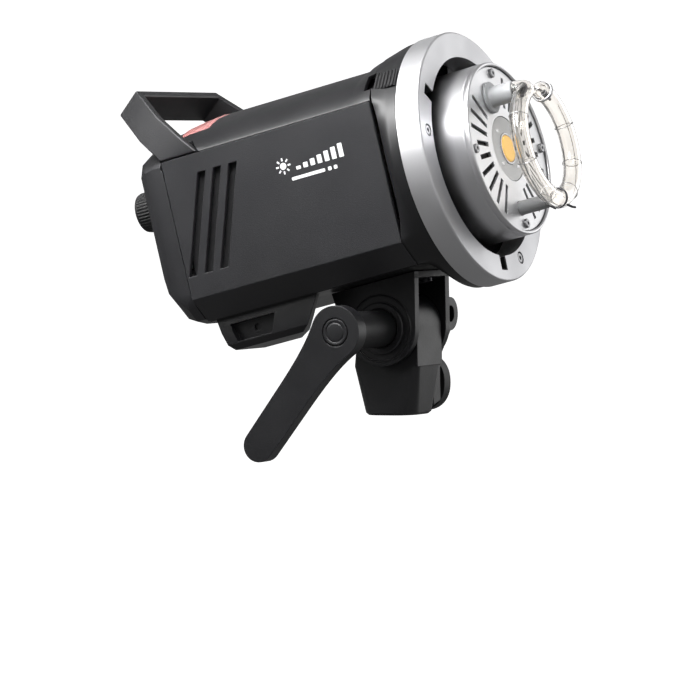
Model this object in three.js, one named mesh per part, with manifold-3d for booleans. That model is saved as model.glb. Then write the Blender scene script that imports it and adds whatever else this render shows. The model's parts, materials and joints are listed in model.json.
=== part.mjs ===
// A monolight studio strobe on its tilting stand bracket, in millimetres.
// Row frame: +Z up along the stand spigot, -Y the way the light points, -X the lever side.
// The origin is the centre of the bracket's bottom face, where the stand enters.
import * as THREE from "three";
import { mergeVertices } from "three/addons/utils/BufferGeometryUtils.js";
import Module from "manifold-3d";

const wasm = await Module();
wasm.setup();

// ---------------------------------------------------------------- driving dimensions
const TILT_DEG = 13.4; // how far the head is tipped up at rest
const PIVOT = { y: -2.3, z: 42.9 }; // tilt bolt axis in the row frame
const RING_FACE_Y = -64.6; // front face of the bayonet ring, from the tilt bolt, head frame
const AXIS_Z = 69.9; // optical axis above the tilt bolt, head frame
const GAP = 0.3; // clearance between neighbouring pieces

const RING = { outer: 62.5, bore: 49.75, depth: 12.5, notchReach: 57, notchWidth: 6.5 };
const RING_NOTCHES = [143.5, 266.5, 23.5];
const RING_SCREWS = [166, 289, 46];
const RING_SCREW_RADIUS = 54.2;

const BODY = { half: 55, top: 53.3, shoulder: 33.8, bottom: -46.8, chamfer: -35.5, keelHalf: 43.8 };
const WALL = 2.4;
const PANEL = { front: 26.3, back: 143.8 };
const CAP = { front: 144.1, back: 158.4 };

const DRUM = { radius: 43, front: -16, back: 27, wall: 1.6 };
const FACE_PLATE = { radius: 41, front: -14.6, thick: 1.5, slotIn: 21.2, slotOut: 37.4, slotWidth: 1.9 };
const FACE_SCREWS = [0, 90, 180, 270];
const SLOT_PITCH = 360 / 28;
const TUBE = { radius: 27.5, thick: 4.5, depth: -34.7, drop: -2.3, from: 99, sweep: 332 };
const UPPER_POST = { x: -7.5, h: 25.2, radius: 5 };
const LOWER_POST = { x: -1.3, h: -29.8, radius: 3.5 };

const HANDLE = { lean: 38, thick: 4.5, straight: 12, bend: 30, bendHalf: 52.3, top: 51.8, flat: 41.3 };
const CHEEK = { inner: 15, outer: 19.5, radius: 18.6 };
const TONGUE = { half: 13.6, radius: 16.7 };
const BOLT_RADIUS = 4;
const SOCKET = { radius: 8.1, depth: 33 };
const LEVER = { inner: -61, outer: -69, hub: 12.75, tip: 8, back: 42.6, down: 54.8 };
const KNOB = { z: 14.4, radius: 14, inner: 26.4, outer: 33.4 };
const EAR = { x: 29, z: 48.3, radius: 8.3, front: -17, back: 3, hole: 4.1 };
const DIAL = { x: -30, h: 15.2, radius: 10.4, back: 172.8 };

// ---------------------------------------------------------------- materials
const paint = (color, roughness, metalness = 0) =>
  new THREE.MeshStandardMaterial({ color, roughness, metalness });
const BLACK_PLASTIC = paint(0x17181a, 0.55);
const GREY_PANEL = paint(0x2a2b2e, 0.5);
const SATIN_ALUMINIUM = paint(0xc9cacd, 0.35, 0.9);
const STEEL = paint(0x8c8e92, 0.4, 0.9);
const DARK_STEEL = paint(0x33353a, 0.45, 0.8);
const CLEAR_GLASS = paint(0xe9e6e2, 0.08);
const RED_LENS = paint(0xc76a68, 0.25);
const YELLOW_LED = paint(0xf2b84b, 0.5);
const CERAMIC_WHITE = paint(0xd9dadd, 0.5);
const BOARD_GREEN = paint(0x1e5a3a, 0.6);
const BRASS = paint(0xb08a45, 0.4, 0.8);
const RUBBER_BLACK = paint(0x101011, 0.85);
const DARK_GLASS = paint(0x0b0d10, 0.1);
const SLEEVE_BLUE = paint(0x20304a, 0.4);

// ---------------------------------------------------------------- solid helpers
const rad = THREE.MathUtils.degToRad;
const depth = (d) => RING_FACE_Y + d; // head frame y of a depth behind the ring face
const high = (h) => AXIS_Z + h; // head frame z of a height above the optical axis
const polar = (r, deg) => [r * Math.cos(rad(deg)), r * Math.sin(rad(deg))];

// Bare, merged geometry with no zero-area faces, its faces turned outwards.
function clean(geometry) {
  const bare = geometry.index ? geometry.toNonIndexed() : geometry.clone();
  for (const name of Object.keys(bare.attributes)) {
    if (name !== "position") bare.deleteAttribute(name);
  }
  const merged = mergeVertices(bare, 1e-4);
  const p = merged.getAttribute("position");
  const a = new THREE.Vector3();
  const b = new THREE.Vector3();
  const c = new THREE.Vector3();
  const faces = [];
  let volume = 0;
  for (let i = 0; i < merged.index.count; i += 3) {
    const t = [0, 1, 2].map((k) => merged.index.getX(i + k));
    if (t[0] === t[1] || t[1] === t[2] || t[2] === t[0]) continue;
    a.fromBufferAttribute(p, t[0]);
    b.fromBufferAttribute(p, t[1]);
    c.fromBufferAttribute(p, t[2]);
    volume += a.dot(b.cross(c));
    faces.push(t);
  }
  merged.setIndex(faces.flatMap(([i, j, k]) => (volume < 0 ? [i, k, j] : [i, j, k])));
  return merged;
}

function toSolid(geometry) {
  const g = clean(geometry);
  const vertProperties = new Float32Array(g.getAttribute("position").array);
  const triVerts = new Uint32Array(g.index.array);
  return new wasm.Manifold(new wasm.Mesh({ numProp: 3, vertProperties, triVerts }));
}

function toGeometry(solid) {
  const mesh = solid.getMesh();
  const g = new THREE.BufferGeometry();
  g.setAttribute("position", new THREE.BufferAttribute(new Float32Array(mesh.vertProperties), 3));
  g.setIndex(Array.from(mesh.triVerts));
  return g;
}

const fold = (method) => (first, ...rest) =>
  toGeometry(rest.reduce((whole, g) => whole[method](toSolid(g)), toSolid(first)));
const join = fold("add");
const cut = fold("subtract");
const common = fold("intersect");

const box = (x0, x1, y0, y1, z0, z1) =>
  new THREE.BoxGeometry(x1 - x0, y1 - y0, z1 - z0).translate(
    (x0 + x1) / 2, (y0 + y1) / 2, (z0 + z1) / 2);

// A cylinder or cone along Y from y0 to y1, with the radius at each end.
const rodY = (x, z, r0, y0, y1, sides = 32, r1 = r0) =>
  new THREE.CylinderGeometry(r1, r0, y1 - y0, sides).translate(x, (y0 + y1) / 2, z);
const rodX = (y, z, r0, x0, x1, sides = 32, r1 = r0) =>
  new THREE.CylinderGeometry(r1, r0, x1 - x0, sides)
    .rotateZ(-Math.PI / 2)
    .translate((x0 + x1) / 2, y, z);
const rodZ = (x, y, r0, z0, z1, sides = 32, r1 = r0) =>
  new THREE.CylinderGeometry(r1, r0, z1 - z0, sides)
    .rotateX(Math.PI / 2)
    .translate(x, y, (z0 + z1) / 2);

const shapeOf = (points) => new THREE.Shape(points.map(([u, v]) => new THREE.Vector2(u, v)));
const AXES_X = new THREE.Matrix4().makeBasis(
  new THREE.Vector3(0, 1, 0), new THREE.Vector3(0, 0, 1), new THREE.Vector3(1, 0, 0));
const AXES_Y = new THREE.Matrix4().makeBasis(
  new THREE.Vector3(1, 0, 0), new THREE.Vector3(0, 0, 1), new THREE.Vector3(0, -1, 0));

// A plate whose outline is (y, z), thick from x0 to x1.
const plateX = (shape, x0, x1, curveSegments = 12) =>
  new THREE.ExtrudeGeometry(shape, { depth: x1 - x0, bevelEnabled: false, curveSegments })
    .applyMatrix4(AXES_X)
    .translate(x0, 0, 0);
// A plate whose outline is (x, z), thick from y0 to y1.
const plateY = (shape, y0, y1, curveSegments = 12) =>
  new THREE.ExtrudeGeometry(shape, { depth: y1 - y0, bevelEnabled: false, curveSegments })
    .applyMatrix4(AXES_Y)
    .translate(0, y1, 0);

// A turned solid about the optical axis: profile of [radius, depth] that closes on itself.
const turned = (profile, sides = 56) =>
  new THREE.LatheGeometry([...profile, profile[0]].map(([r, d]) => new THREE.Vector2(r, depth(d))), sides)
    .translate(0, 0, AXIS_Z);

// A solid skinned over rings of matching points, each ring [[x, y, z], ...], capped flat.
function loft(rings) {
  const n = rings[0].length;
  const flat = rings[0].map(([x, , z]) => new THREE.Vector2(x, z));
  const cap = THREE.ShapeUtils.triangulateShape(flat, []);
  const last = (rings.length - 1) * n;
  const index = [];
  for (let r = 0; r < rings.length - 1; r += 1) {
    for (let i = 0; i < n; i += 1) {
      const a = r * n + i;
      const b = r * n + ((i + 1) % n);
      index.push(a, b, a + n, b, b + n, a + n);
    }
  }
  const clockwise = THREE.ShapeUtils.area(flat) < 0;
  for (const [i, j, k] of cap) {
    const [p, q] = clockwise ? [k, j] : [j, k];
    index.push(i, q, p);
    index.push(last + i, last + p, last + q);
  }
  const g = new THREE.BufferGeometry();
  g.setAttribute("position", new THREE.Float32BufferAttribute(rings.flat(2), 3));
  g.setIndex(index);
  return g;
}

// ---------------------------------------------------------------- body section
const SECTION_RAYS = 48;
// Height of the rounded top above the shoulder at a sideways place, for a crown so tall.
const crown = (x, half, tall) =>
  tall * Math.pow(Math.max(0, 1 - Math.pow(Math.abs(x) / half, 2.4)), 0.769);

// The whole body section as a closed outline of (x, h), inset all round.
function bodyOutline(inset, tall = BODY.top - BODY.shoulder, lift = 0) {
  const half = BODY.half - inset;
  const floor = BODY.bottom + inset + lift;
  const side = BODY.chamfer + inset * 0.4 + lift;
  const points = [[-BODY.keelHalf + inset, floor], [BODY.keelHalf - inset, floor], [half, side]];
  const steps = 16;
  for (let i = 0; i <= steps; i += 1) {
    const x = half * Math.cos((Math.PI * i) / steps);
    points.push([x, BODY.shoulder + crown(x, half, tall - inset)]);
  }
  points.push([-half, side]);
  return points;
}

// The outline sampled along rays from the optical axis, so that rings match point for point.
function raySection(outline, d, count = SECTION_RAYS) {
  const ring = [];
  for (let k = 0; k < count; k += 1) {
    const [cx, cz] = polar(1, (360 * k) / count + 0.01);
    let far = 0;
    outline.forEach(([x0, z0], i) => {
      const [x1, z1] = outline[(i + 1) % outline.length];
      const across = cx * (z1 - z0) - cz * (x1 - x0);
      if (Math.abs(across) < 1e-9) return;
      const t = (x0 * (z1 - z0) - z0 * (x1 - x0)) / across;
      const s = (x0 * cz - z0 * cx) / across;
      if (t > 0 && s >= -1e-6 && s <= 1 + 1e-6) far = Math.max(far, t);
    });
    ring.push([cx * far, depth(d), high(cz * far)]);
  }
  return ring;
}
const circleSection = (radius, d, count = SECTION_RAYS) => {
  const ring = [];
  for (let k = 0; k < count; k += 1) {
    const [x, z] = polar(radius, (360 * k) / count + 0.01);
    ring.push([x, depth(d), high(z)]);
  }
  return ring;
};

// ---------------------------------------------------------------- head: shells
const VENTS = { pitch: 8.9, width: 4.5, lean: 17.3, tall: 48.5, back: 131.6 };

function ventCutter(number) {
  const middle = depth(VENTS.back - number * VENTS.pitch);
  const shift = VENTS.lean / 2;
  const w = VENTS.width / 2;
  const outline = shapeOf([
    [middle - shift - w, high(VENTS.tall / 2)], [middle + shift - w, high(-VENTS.tall / 2)],
    [middle + shift + w, high(-VENTS.tall / 2)], [middle - shift + w, high(VENTS.tall / 2)],
  ]);
  return plateX(outline, -BODY.half - 5, -BODY.half + 8);
}

function leftPanel() {
  const i = WALL;
  const section = shapeOf([
    [-BODY.half, high(BODY.shoulder)], [-BODY.half, high(BODY.chamfer)],
    [-BODY.keelHalf, high(BODY.bottom)], [-BODY.keelHalf + 2, high(BODY.bottom + 1.4)],
    [-BODY.half + i, high(BODY.chamfer + 1)], [-BODY.half + i, high(BODY.shoulder)],
  ]);
  const shell = plateY(section, depth(PANEL.front), depth(PANEL.back));
  return cut(shell, ventCutter(0), ventCutter(1), ventCutter(2));
}
const mirrored = (geometry) => clean(geometry.clone().scale(-1, 1, 1));

// The slots in the shells that the leaning strap of the handle passes through.
function strapSlots() {
  const outline = shapeOf([
    [depth(122.5), high(30)], [depth(122.5), high(34.2)], [depth(134), high(48.2)],
    [depth(156), high(48.2)], [depth(144.9), high(34.2)], [depth(144.9), high(30)],
  ]);
  return [plateX(outline, -56, -47), plateX(outline, 47, 56)];
}

function topCover() {
  const tallAt = {
    [PANEL.front]: 23.8, 30: 22.7, 33: 21.6, 36: 19.9, 38: 19.5, 118: 19.5, 132: 18.2, [PANEL.back]: 16.4,
  };
  const rings = Object.keys(tallAt)
    .map(Number)
    .sort((a, b) => a - b)
    .map((d) => coverRing(d, tallAt[d]));
  const lensPocket = box(-12.3, 12.3, depth(122.7), depth(140.3), high(40), high(60));
  return cut(loft(rings), ...strapSlots(), lensPocket, sliderSlot());
}

function coverRing(d, tall) {
  const outer = BODY.half - 1.2;
  const inner = outer - WALL;
  const base = BODY.shoulder + 0.4;
  const steps = 18;
  const points = [];
  for (let i = 0; i <= steps; i += 1) {
    const x = outer * Math.cos((Math.PI * i) / steps);
    points.push([x, depth(d), high(base + crown(x, outer, tall))]);
  }
  for (let i = steps; i >= 0; i -= 1) {
    const x = inner * Math.cos((Math.PI * i) / steps);
    points.push([x, depth(d), high(base + crown(x, inner, tall - WALL))]);
  }
  return points;
}

// The collar's rear edge is hollowed at each side, which leaves a dark crescent before the panel.
const CRESCENT = { low: -33.4, middle: -6, high: 44, deep: 2.75 };

function crescentCutters() {
  const { low, middle, high: top, deep } = CRESCENT;
  const steps = 16;
  const edge = Array.from({ length: steps + 1 }, (_, i) => {
    const h = low + ((top - low) * i) / steps;
    const reach = h > middle ? top - middle : middle - low;
    return [depth(PANEL.front - deep * (1 - ((h - middle) / reach) ** 2)), high(h)];
  });
  const behind = depth(PANEL.front + 1);
  const outline = shapeOf([...edge, [behind, high(top)], [behind, high(low)]]);
  return [plateX(outline, -62, -46), plateX(outline, 46, 62)];
}

// The collar swells from the round ring to the body section.
const COLLAR = { radius: 61.6, front: 13.7, round: 17.5, back: 25.9, crown: 24.9 };

function frontCollar() {
  const { radius, front, round, back } = COLLAR;
  const circle = circleSection(radius, round);
  const body = raySection(bodyOutline(0.4, COLLAR.crown), back);
  const blended = (d) => {
    const t = Math.pow((d - round) / (back - round), 1.5);
    return circle.map(([x, , z], i) => [x + (body[i][0] - x) * t, depth(d), z + (body[i][2] - z) * t]);
  };
  const skin = loft([
    circleSection(radius, front), circle, blended(19), blended(20.6), blended(22.3), blended(24.1), body,
  ]);
  const rim = cut(rodY(0, AXIS_Z, 61.6, depth(12.8), depth(14.5), 56),
    rodY(0, AXIS_Z, 58, depth(12), depth(15), 48));
  const throat = rodY(0, AXIS_Z, 52, depth(12), depth(19), 48);
  const bore = rodY(0, AXIS_Z, 44.8, depth(18), depth(27), 48);
  const screwHoles = RING_SCREWS.map((deg) => {
    const [x, h] = polar(RING_SCREW_RADIUS, deg);
    return rodY(x, high(h), 2, depth(12), depth(22), 16);
  });
  return cut(join(skin, rim), throat, bore, sliderSlot(), ...crescentCutters(), ...screwHoles);
}

function rearCap() {
  const skin = loft([
    raySection(bodyOutline(0, 15.9), CAP.front), raySection(bodyOutline(0, 15.2), 149),
    raySection(bodyOutline(1.2, 14.2, 2.8), 154.6), raySection(bodyOutline(3.6, 12.2, 6.2), CAP.back),
  ]);
  const hollow = loft([
    raySection(bodyOutline(2.4, 15.9), CAP.front - 1), raySection(bodyOutline(2.4, 15.2), 149),
    raySection(bodyOutline(3.4, 14.2, 2.8), 153.6), raySection(bodyOutline(5.4, 12.4, 5.4), CAP.back - 2.4),
  ]);
  const window = box(-44.3, 44.3, depth(150), depth(162), high(-20.3), high(32.3));
  const inlet = box(-13.8, 13.8, depth(150), depth(162), high(-36.2), high(-22.6));
  const rocker = box(22.3, 37.7, depth(150), depth(162), high(-34.8), high(-24.2));
  const jack = rodY(-24, high(-29), 3.6, depth(150), depth(162), 18);
  return cut(skin, hollow, window, inlet, rocker, jack, ...strapSlots());
}

// The pod under the near rear edge holds the side sockets behind a recess.
const POD = { near: -42, far: -8, wall: 3, recess: 4.5 };

function podSection(h, front, back, near, far) {
  return [
    [near, depth(front), high(h)], [near, depth(back), high(h)], [far, depth(back), high(h)],
    [far, depth(front + 17), high(h)], [near + 6, depth(front + 1.5), high(h)],
  ].map(([x, y, z]) => [x, z, y]);
}
const uprightLoft = (rings) =>
  loft(rings).applyMatrix4(new THREE.Matrix4().makeBasis(
    new THREE.Vector3(1, 0, 0), new THREE.Vector3(0, 0, 1), new THREE.Vector3(0, 1, 0)));

function bottomCover() {
  const top = BODY.bottom + WALL;
  const half = BODY.keelHalf - 2.5;
  const { near, far, wall, recess } = POD;
  const floor = box(-half, half, depth(PANEL.front), depth(PANEL.back), high(BODY.bottom), high(top));
  const pod = uprightLoft([
    podSection(BODY.bottom + 1, 83, 140.8, near + 1, far), podSection(-54, 87.4, 139, near, far),
    podSection(-60.4, 91.5, 137, near, far), podSection(-63.4, 96, 134.4, near + 2, far - 1.5),
  ]);
  const inside = box(near + wall + recess, far - wall, depth(112), depth(133), high(-59.6), high(top + 1));
  const side = shapeOf([
    [depth(108), high(-50.6)], [depth(133.4), high(-50.6)],
    [depth(131.4), high(-59.6)], [depth(111.6), high(-59.6)],
  ]);
  const alcove = plateX(side, near - 2, near + recess);
  const socket = rodX(depth(121), high(-55), 1.8, near, near + recess + 1.2, 16);
  const yokeHoles = YOKE_SCREWS.map(([x, y]) => rodZ(x, y, 2, high(-50), high(-40), 16));
  return cut(join(floor, pod), inside, alcove, socket, ...yokeHoles);
}

function bulkhead() {
  const plate = loft([raySection(bodyOutline(3.8), 30, 28), raySection(bodyOutline(3.8), 32, 28)]);
  const wires = rodY(0, AXIS_Z, 9, depth(29), depth(33), 32);
  return cut(plate, wires);
}

// ---------------------------------------------------------------- head: lamp end
function bayonetRing() {
  const blank = turned([
    [RING.bore, 0.8], [RING.bore + 0.8, 0], [RING.outer - 1, 0], [RING.outer, 1],
    [RING.outer, RING.depth - 0.6], [RING.outer - 0.6, RING.depth], [RING.bore, RING.depth],
  ], 72);
  const notches = RING_NOTCHES.map((deg) =>
    box(RING.bore - 3, RING.notchReach, depth(-1), depth(14), -RING.notchWidth / 2, RING.notchWidth / 2)
      .rotateY(-rad(deg))
      .translate(0, 0, AXIS_Z));
  const holes = RING_SCREWS.flatMap((deg) => {
    const [x, h] = polar(RING_SCREW_RADIUS, deg);
    return [
      rodY(x, high(h), 3.1, depth(-1), depth(2.2), 20),
      rodY(x, high(h), 2, depth(1), depth(13), 16),
    ];
  });
  return cut(blank, ...notches, ...holes);
}

function ringScrew(deg) {
  const [x, h] = polar(RING_SCREW_RADIUS, deg);
  const z = high(h);
  const head = rodY(x, z, 2.8, depth(0.2), depth(1.8), 14);
  const shank = rodY(x, z, 1.6, depth(1.6), depth(20), 8);
  const socket = rodY(x, z, 1.2, depth(-1), depth(1.1), 6);
  return cut(join(head, shank), socket);
}

// A spring leaf that grips the accessory, clamped behind the ring.
function ringLeaf(deg) {
  const foot = box(45.8, 56.6, depth(12.8), depth(13.4), -4, 4);
  const tongue = box(45.8, 46.5, depth(5), depth(13.2), -2.6, 2.6);
  return join(foot, tongue).rotateY(-rad(deg)).translate(0, 0, AXIS_Z);
}

function lampHousing() {
  const w = DRUM.wall;
  const inner = DRUM.radius - w;
  const cup = turned([
    [0.001, DRUM.back], [DRUM.radius - 2, DRUM.back], [DRUM.radius, DRUM.back - 2],
    [DRUM.radius, DRUM.front + 1.6], [DRUM.radius - 0.5, DRUM.front + 0.5],
    [DRUM.radius - 1.2, DRUM.front], [inner, DRUM.front + 0.5], [inner, FACE_PLATE.front + 1.9],
    [inner - 1.2, FACE_PLATE.front + 2.3], [inner - 1.2, DRUM.back - w], [0.001, DRUM.back - w],
  ], 48);
  const wires = rodY(0, AXIS_Z, 8, depth(20), depth(30), 24);
  return cut(cup, wires);
}

function facePlate() {
  const f = FACE_PLATE;
  const disc = rodY(0, AXIS_Z, f.radius, depth(f.front), depth(f.front + f.thick), 48);
  const slots = [];
  for (let i = 0; i < 28; i += 1) {
    const deg = 7.2 + i * SLOT_PITCH;
    const nearUpperPost = deg > 78 && deg < 127;
    const nearLowerPost = deg > 250 && deg < 290;
    if (nearUpperPost || nearLowerPost) continue;
    const besideScrew = Math.min(deg, Math.abs(deg - 180), 360 - deg) < 9;
    const reach = besideScrew ? f.slotOut - 4 : f.slotOut;
    slots.push(
      box(f.slotIn, reach, depth(f.front - 1), depth(f.front + 3), -f.slotWidth / 2, f.slotWidth / 2)
        .rotateY(-rad(deg))
        .translate(0, 0, AXIS_Z));
  }
  const window = rodY(0, AXIS_Z, 16.3, depth(f.front - 1), depth(f.front + 3), 48);
  const posts = [UPPER_POST, LOWER_POST].map((p) =>
    rodY(p.x, high(p.h), p.radius + GAP, depth(f.front - 1), depth(f.front + 3), 24));
  const screws = FACE_SCREWS.map((deg) => {
    const [x, h] = polar(37.5, deg);
    return rodY(x, high(h), 1.9, depth(f.front - 1), depth(f.front + 3), 16);
  });
  return cut(disc, window, ...posts, ...screws, ...slots);
}

function faceScrew(deg) {
  const [x, h] = polar(37.5, deg);
  const head = rodY(x, high(h), 2.3, depth(-16.1), depth(-14.9), 12);
  const shank = rodY(x, high(h), 1.5, depth(-15), depth(-9), 8);
  return join(head, shank);
}

const ledBoard = () => rodY(0, AXIS_Z, 16, depth(-14.4), depth(-12.8), 28);
const ledChip = () => rodY(0, AXIS_Z, 7, depth(-15.3), depth(-14.7), 32);

function upperPost() {
  const p = UPPER_POST;
  const flange = rodY(p.x, high(p.h), 7.8, depth(-16.4), depth(-14.9), 32);
  const post = rodY(p.x, high(p.h), p.radius, depth(-28.4), depth(-8), 24);
  return join(flange, post);
}
const lowerPost = () =>
  rodY(LOWER_POST.x, high(LOWER_POST.h), LOWER_POST.radius, depth(-29.6), depth(-8), 24);

// The glass loop: out of the upper post, round the near side, up the far side to its sealed end.
function flashTube() {
  const centre = [];
  const start = new THREE.Vector3(UPPER_POST.x, depth(-28.8), high(UPPER_POST.h));
  centre.push(start);
  centre.push(start.clone().setY(depth(-30.6)));
  const steps = 26;
  for (let i = 1; i <= steps; i += 1) {
    const [x, h] = polar(TUBE.radius, TUBE.from + (TUBE.sweep * i) / steps);
    centre.push(new THREE.Vector3(x, depth(TUBE.depth), high(h + TUBE.drop)));
  }
  const path = new THREE.CatmullRomCurve3(centre, false, "centripetal");
  const round = shapeOf(Array.from({ length: 10 }, (_, k) => polar(TUBE.thick, k * 36)));
  return new THREE.ExtrudeGeometry(round, { steps: 44, extrudePath: path, bevelEnabled: false });
}

// ---------------------------------------------------------------- head: bayonet release
const SLIDER = { deg: 136, half: 5.5, front: 14, back: 26, travel: 3.5 };
const aroundAxis = (geometry, deg) => geometry.rotateY(-rad(deg)).translate(0, 0, AXIS_Z);

function releaseSlider() {
  const { deg, half, front, back } = SLIDER;
  const base = box(56.5, 62, depth(front), depth(back), -half, half);
  const ribs = [0, 1, 2, 3, 4, 5].map((i) =>
    box(61.8, 62.8, depth(front + 0.8 + i * 1.9), depth(front + 1.7 + i * 1.9), -half, half));
  return aroundAxis(join(base, ...ribs), deg);
}
// The slot that the slider runs in, through the collar and the front of the top cover.
const sliderSlot = () =>
  aroundAxis(box(55.8, 70, depth(SLIDER.front - 0.4), depth(SLIDER.back + SLIDER.travel + 0.5),
    -SLIDER.half - 0.4, SLIDER.half + 0.4), SLIDER.deg);
const lockTongue = () =>
  box(47, 48.2, depth(5.4), depth(13.2), -3, 3).rotateY(-rad(113)).translate(0, 0, AXIS_Z);

// ---------------------------------------------------------------- head: handle and lens
function carryHandle() {
  const lean = rad(HANDLE.lean);
  const t = HANDLE.thick;
  const w = BODY.half;
  const { straight, bend, bendHalf, top, flat } = HANDLE;
  const outer = [[w, -20], [w, straight], [bendHalf, bend], [flat, top]];
  const inner = [
    [flat - 2.8, top - t], [bendHalf - t + 0.3, bend - 1.2], [w - t, straight - 0.4], [w - t, -20],
  ];
  const left = [...outer, ...inner].map(([x, v]) => [-x, v]);
  const right = [...inner.slice().reverse(), ...outer.slice().reverse()];
  const section = [...left.slice(0, 4), ...right.slice(4), ...right.slice(0, 4), ...left.slice(4)];
  const strap = plateY(shapeOf(section), -30, 40)
    .rotateX(-lean)
    .translate(0, depth(122.3), high(34.2));
  const side = plateX(shapeOf([
    [depth(123.2), high(34.4)], [depth(144.2), high(34.4)],
    [depth(169.8), high(66.6)], [depth(156.6), high(74.8)],
  ]), -w - 1, w + 1);
  const tabs = [-1, 1].map((s) =>
    box(Math.min(s * 48.4, s * 52.2), Math.max(s * 48.4, s * 52.2),
      depth(126), depth(141), high(26), high(36)));
  return join(common(strap, side), ...tabs);
}

function sensorLens() {
  const ring = [];
  for (const d of [123, 127, 131.5, 136, 140]) {
    const rise = 53.0 - Math.max(0, d - 123) * 0.12;
    const bulge = 1.6 * Math.sin((Math.PI * (d - 123)) / 17);
    ring.push([
      [-12, depth(d), high(41)], [12, depth(d), high(41)], [12, depth(d), high(rise)],
      [6, depth(d), high(rise + bulge * 0.8)], [0, depth(d), high(rise + bulge)],
      [-6, depth(d), high(rise + bulge * 0.8)], [-12, depth(d), high(rise)],
    ]);
  }
  return loft(ring);
}

// ---------------------------------------------------------------- head: rear controls
const BUTTONS = [34, 21, 8, -5];
const BUTTON_H = -12.5;
const TEST = { x: -30, h: -9.5, radius: 4.6 };
const SCREEN = { x0: -10, x1: 40, h0: -1, h1: 28 };

function controlPanel() {
  const plate = box(-44, 44, depth(156.2), depth(158), high(-20), high(32));
  const screen = box(SCREEN.x0, SCREEN.x1, depth(150), depth(162), high(SCREEN.h0), high(SCREEN.h1));
  const keys = BUTTONS.map((x) =>
    box(x - 4.3, x + 4.3, depth(150), depth(162), high(BUTTON_H - 2.8), high(BUTTON_H + 2.8)));
  const shaft = rodY(DIAL.x, high(DIAL.h), 3.4, depth(150), depth(162), 24);
  const test = rodY(TEST.x, high(TEST.h), TEST.radius + GAP, depth(150), depth(162), 24);
  return cut(plate, screen, shaft, test, ...keys);
}
const screenWindow = () =>
  box(SCREEN.x0 + GAP, SCREEN.x1 - GAP, depth(156.3), depth(157.8),
    high(SCREEN.h0 + GAP), high(SCREEN.h1 - GAP));
const menuButton = (x) =>
  box(x - 4, x + 4, depth(155.6), depth(159.2), high(BUTTON_H - 2.5), high(BUTTON_H + 2.5));
const testButton = () => rodY(TEST.x, high(TEST.h), TEST.radius, depth(155.6), depth(159.6), 24);
const dialShaft = () => rodY(DIAL.x, high(DIAL.h), 3, depth(154.6), depth(160.6), 20);

function dialKnob() {
  const sides = 32;
  const rim = Array.from({ length: sides }, (_, k) =>
    polar(DIAL.radius - (k % 2) * 0.45, (360 * k) / sides));
  const outline = shapeOf(rim.map(([x, h]) => [x + DIAL.x, high(h + DIAL.h)]));
  const body = plateY(outline, depth(159.6), depth(DIAL.back - 1.2));
  const top = rodY(DIAL.x, high(DIAL.h), DIAL.radius - 0.4, depth(DIAL.back - 1.3), depth(DIAL.back), 40,
    DIAL.radius - 1.8);
  const bore = rodY(DIAL.x, high(DIAL.h), 3.3, depth(158.4), depth(161.4), 20);
  return cut(join(body, top), bore);
}

const displayBoard = () => box(-42, 42, depth(150.6), depth(152.2), high(-18), high(30));

function powerInlet() {
  const shell = box(-13.4, 13.4, depth(139.4), depth(157.6), high(-35.8), high(-23));
  const socket = box(-11.4, 11.4, depth(145.4), depth(160), high(-34.4), high(-24.4));
  return cut(shell, socket);
}
function rockerSwitch() {
  const outline = shapeOf([[-6.6, -1], [-6.6, 1.6], [0, 0.3], [6.6, 3.4], [6.6, -1]]);
  return new THREE.ExtrudeGeometry(outline, { depth: 9.4, bevelEnabled: false })
    .rotateX(-Math.PI / 2)
    .applyMatrix4(new THREE.Matrix4().makeBasis(
      new THREE.Vector3(1, 0, 0), new THREE.Vector3(0, 0, 1), new THREE.Vector3(0, 1, 0)))
    .translate(30, depth(156.6), high(-29.5) - 4.7);
}
const syncJack = () =>
  cut(rodY(-24, high(-29), 3.3, depth(147.4), depth(158.4), 24),
    rodY(-24, high(-29), 1.8, depth(150.4), depth(160), 16));

// ---------------------------------------------------------------- head: inside
const FAN = { x0: -49.5, x1: -39.5, d: 122, h: 0, half: 25 };

function fanFrame() {
  const { x0, x1, d, h, half } = FAN;
  const frame = box(x0, x1, depth(d - half), depth(d + half - 5), high(h - half), high(h + half));
  const throat = rodX(depth(d - 2.5), high(h), 21.5, x0 - 1, x1 - 2.4, 32);
  const hub = rodX(depth(d - 2.5), high(h), 7, x1 - 2.6, x1 + 1, 24);
  const ports = [0, 90, 180, 270].map((deg) => {
    const [y, z] = polar(14.5, deg + 45);
    return rodX(depth(d - 2.5) + y, high(h) + z, 5.6, x1 - 3, x1 + 1, 12);
  });
  return cut(frame, throat, hub, ...ports);
}

function fanRotor() {
  const y = depth(FAN.d - 2.5);
  const z = high(FAN.h);
  const hub = rodX(y, z, 9, FAN.x0 + 0.8, FAN.x1 - 3.2, 24);
  const blades = [];
  for (let i = 0; i < 7; i += 1) {
    blades.push(
      box(-3, 3, 7, 20.4, -0.6, 0.6)
        .rotateY(rad(38))
        .rotateX(rad((360 * i) / 7))
        .translate((FAN.x0 + FAN.x1 - 2.4) / 2, y, z));
  }
  return join(hub, ...blades);
}

const capacitor = (x) => rodY(x, high(-20), 15.5, depth(36), depth(92), 32);
const mainBoard = () => box(-40, 36, depth(36), depth(98), high(-41.6), high(-40));
const transformer = () => box(-16, 16, depth(44), depth(76), high(2), high(28));

// ---------------------------------------------------------------- tilt yoke and clamp
const YOKE_SCREWS = [[0, -20], [0, 19]];
const YOKE_TOP = 22.7;

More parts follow.
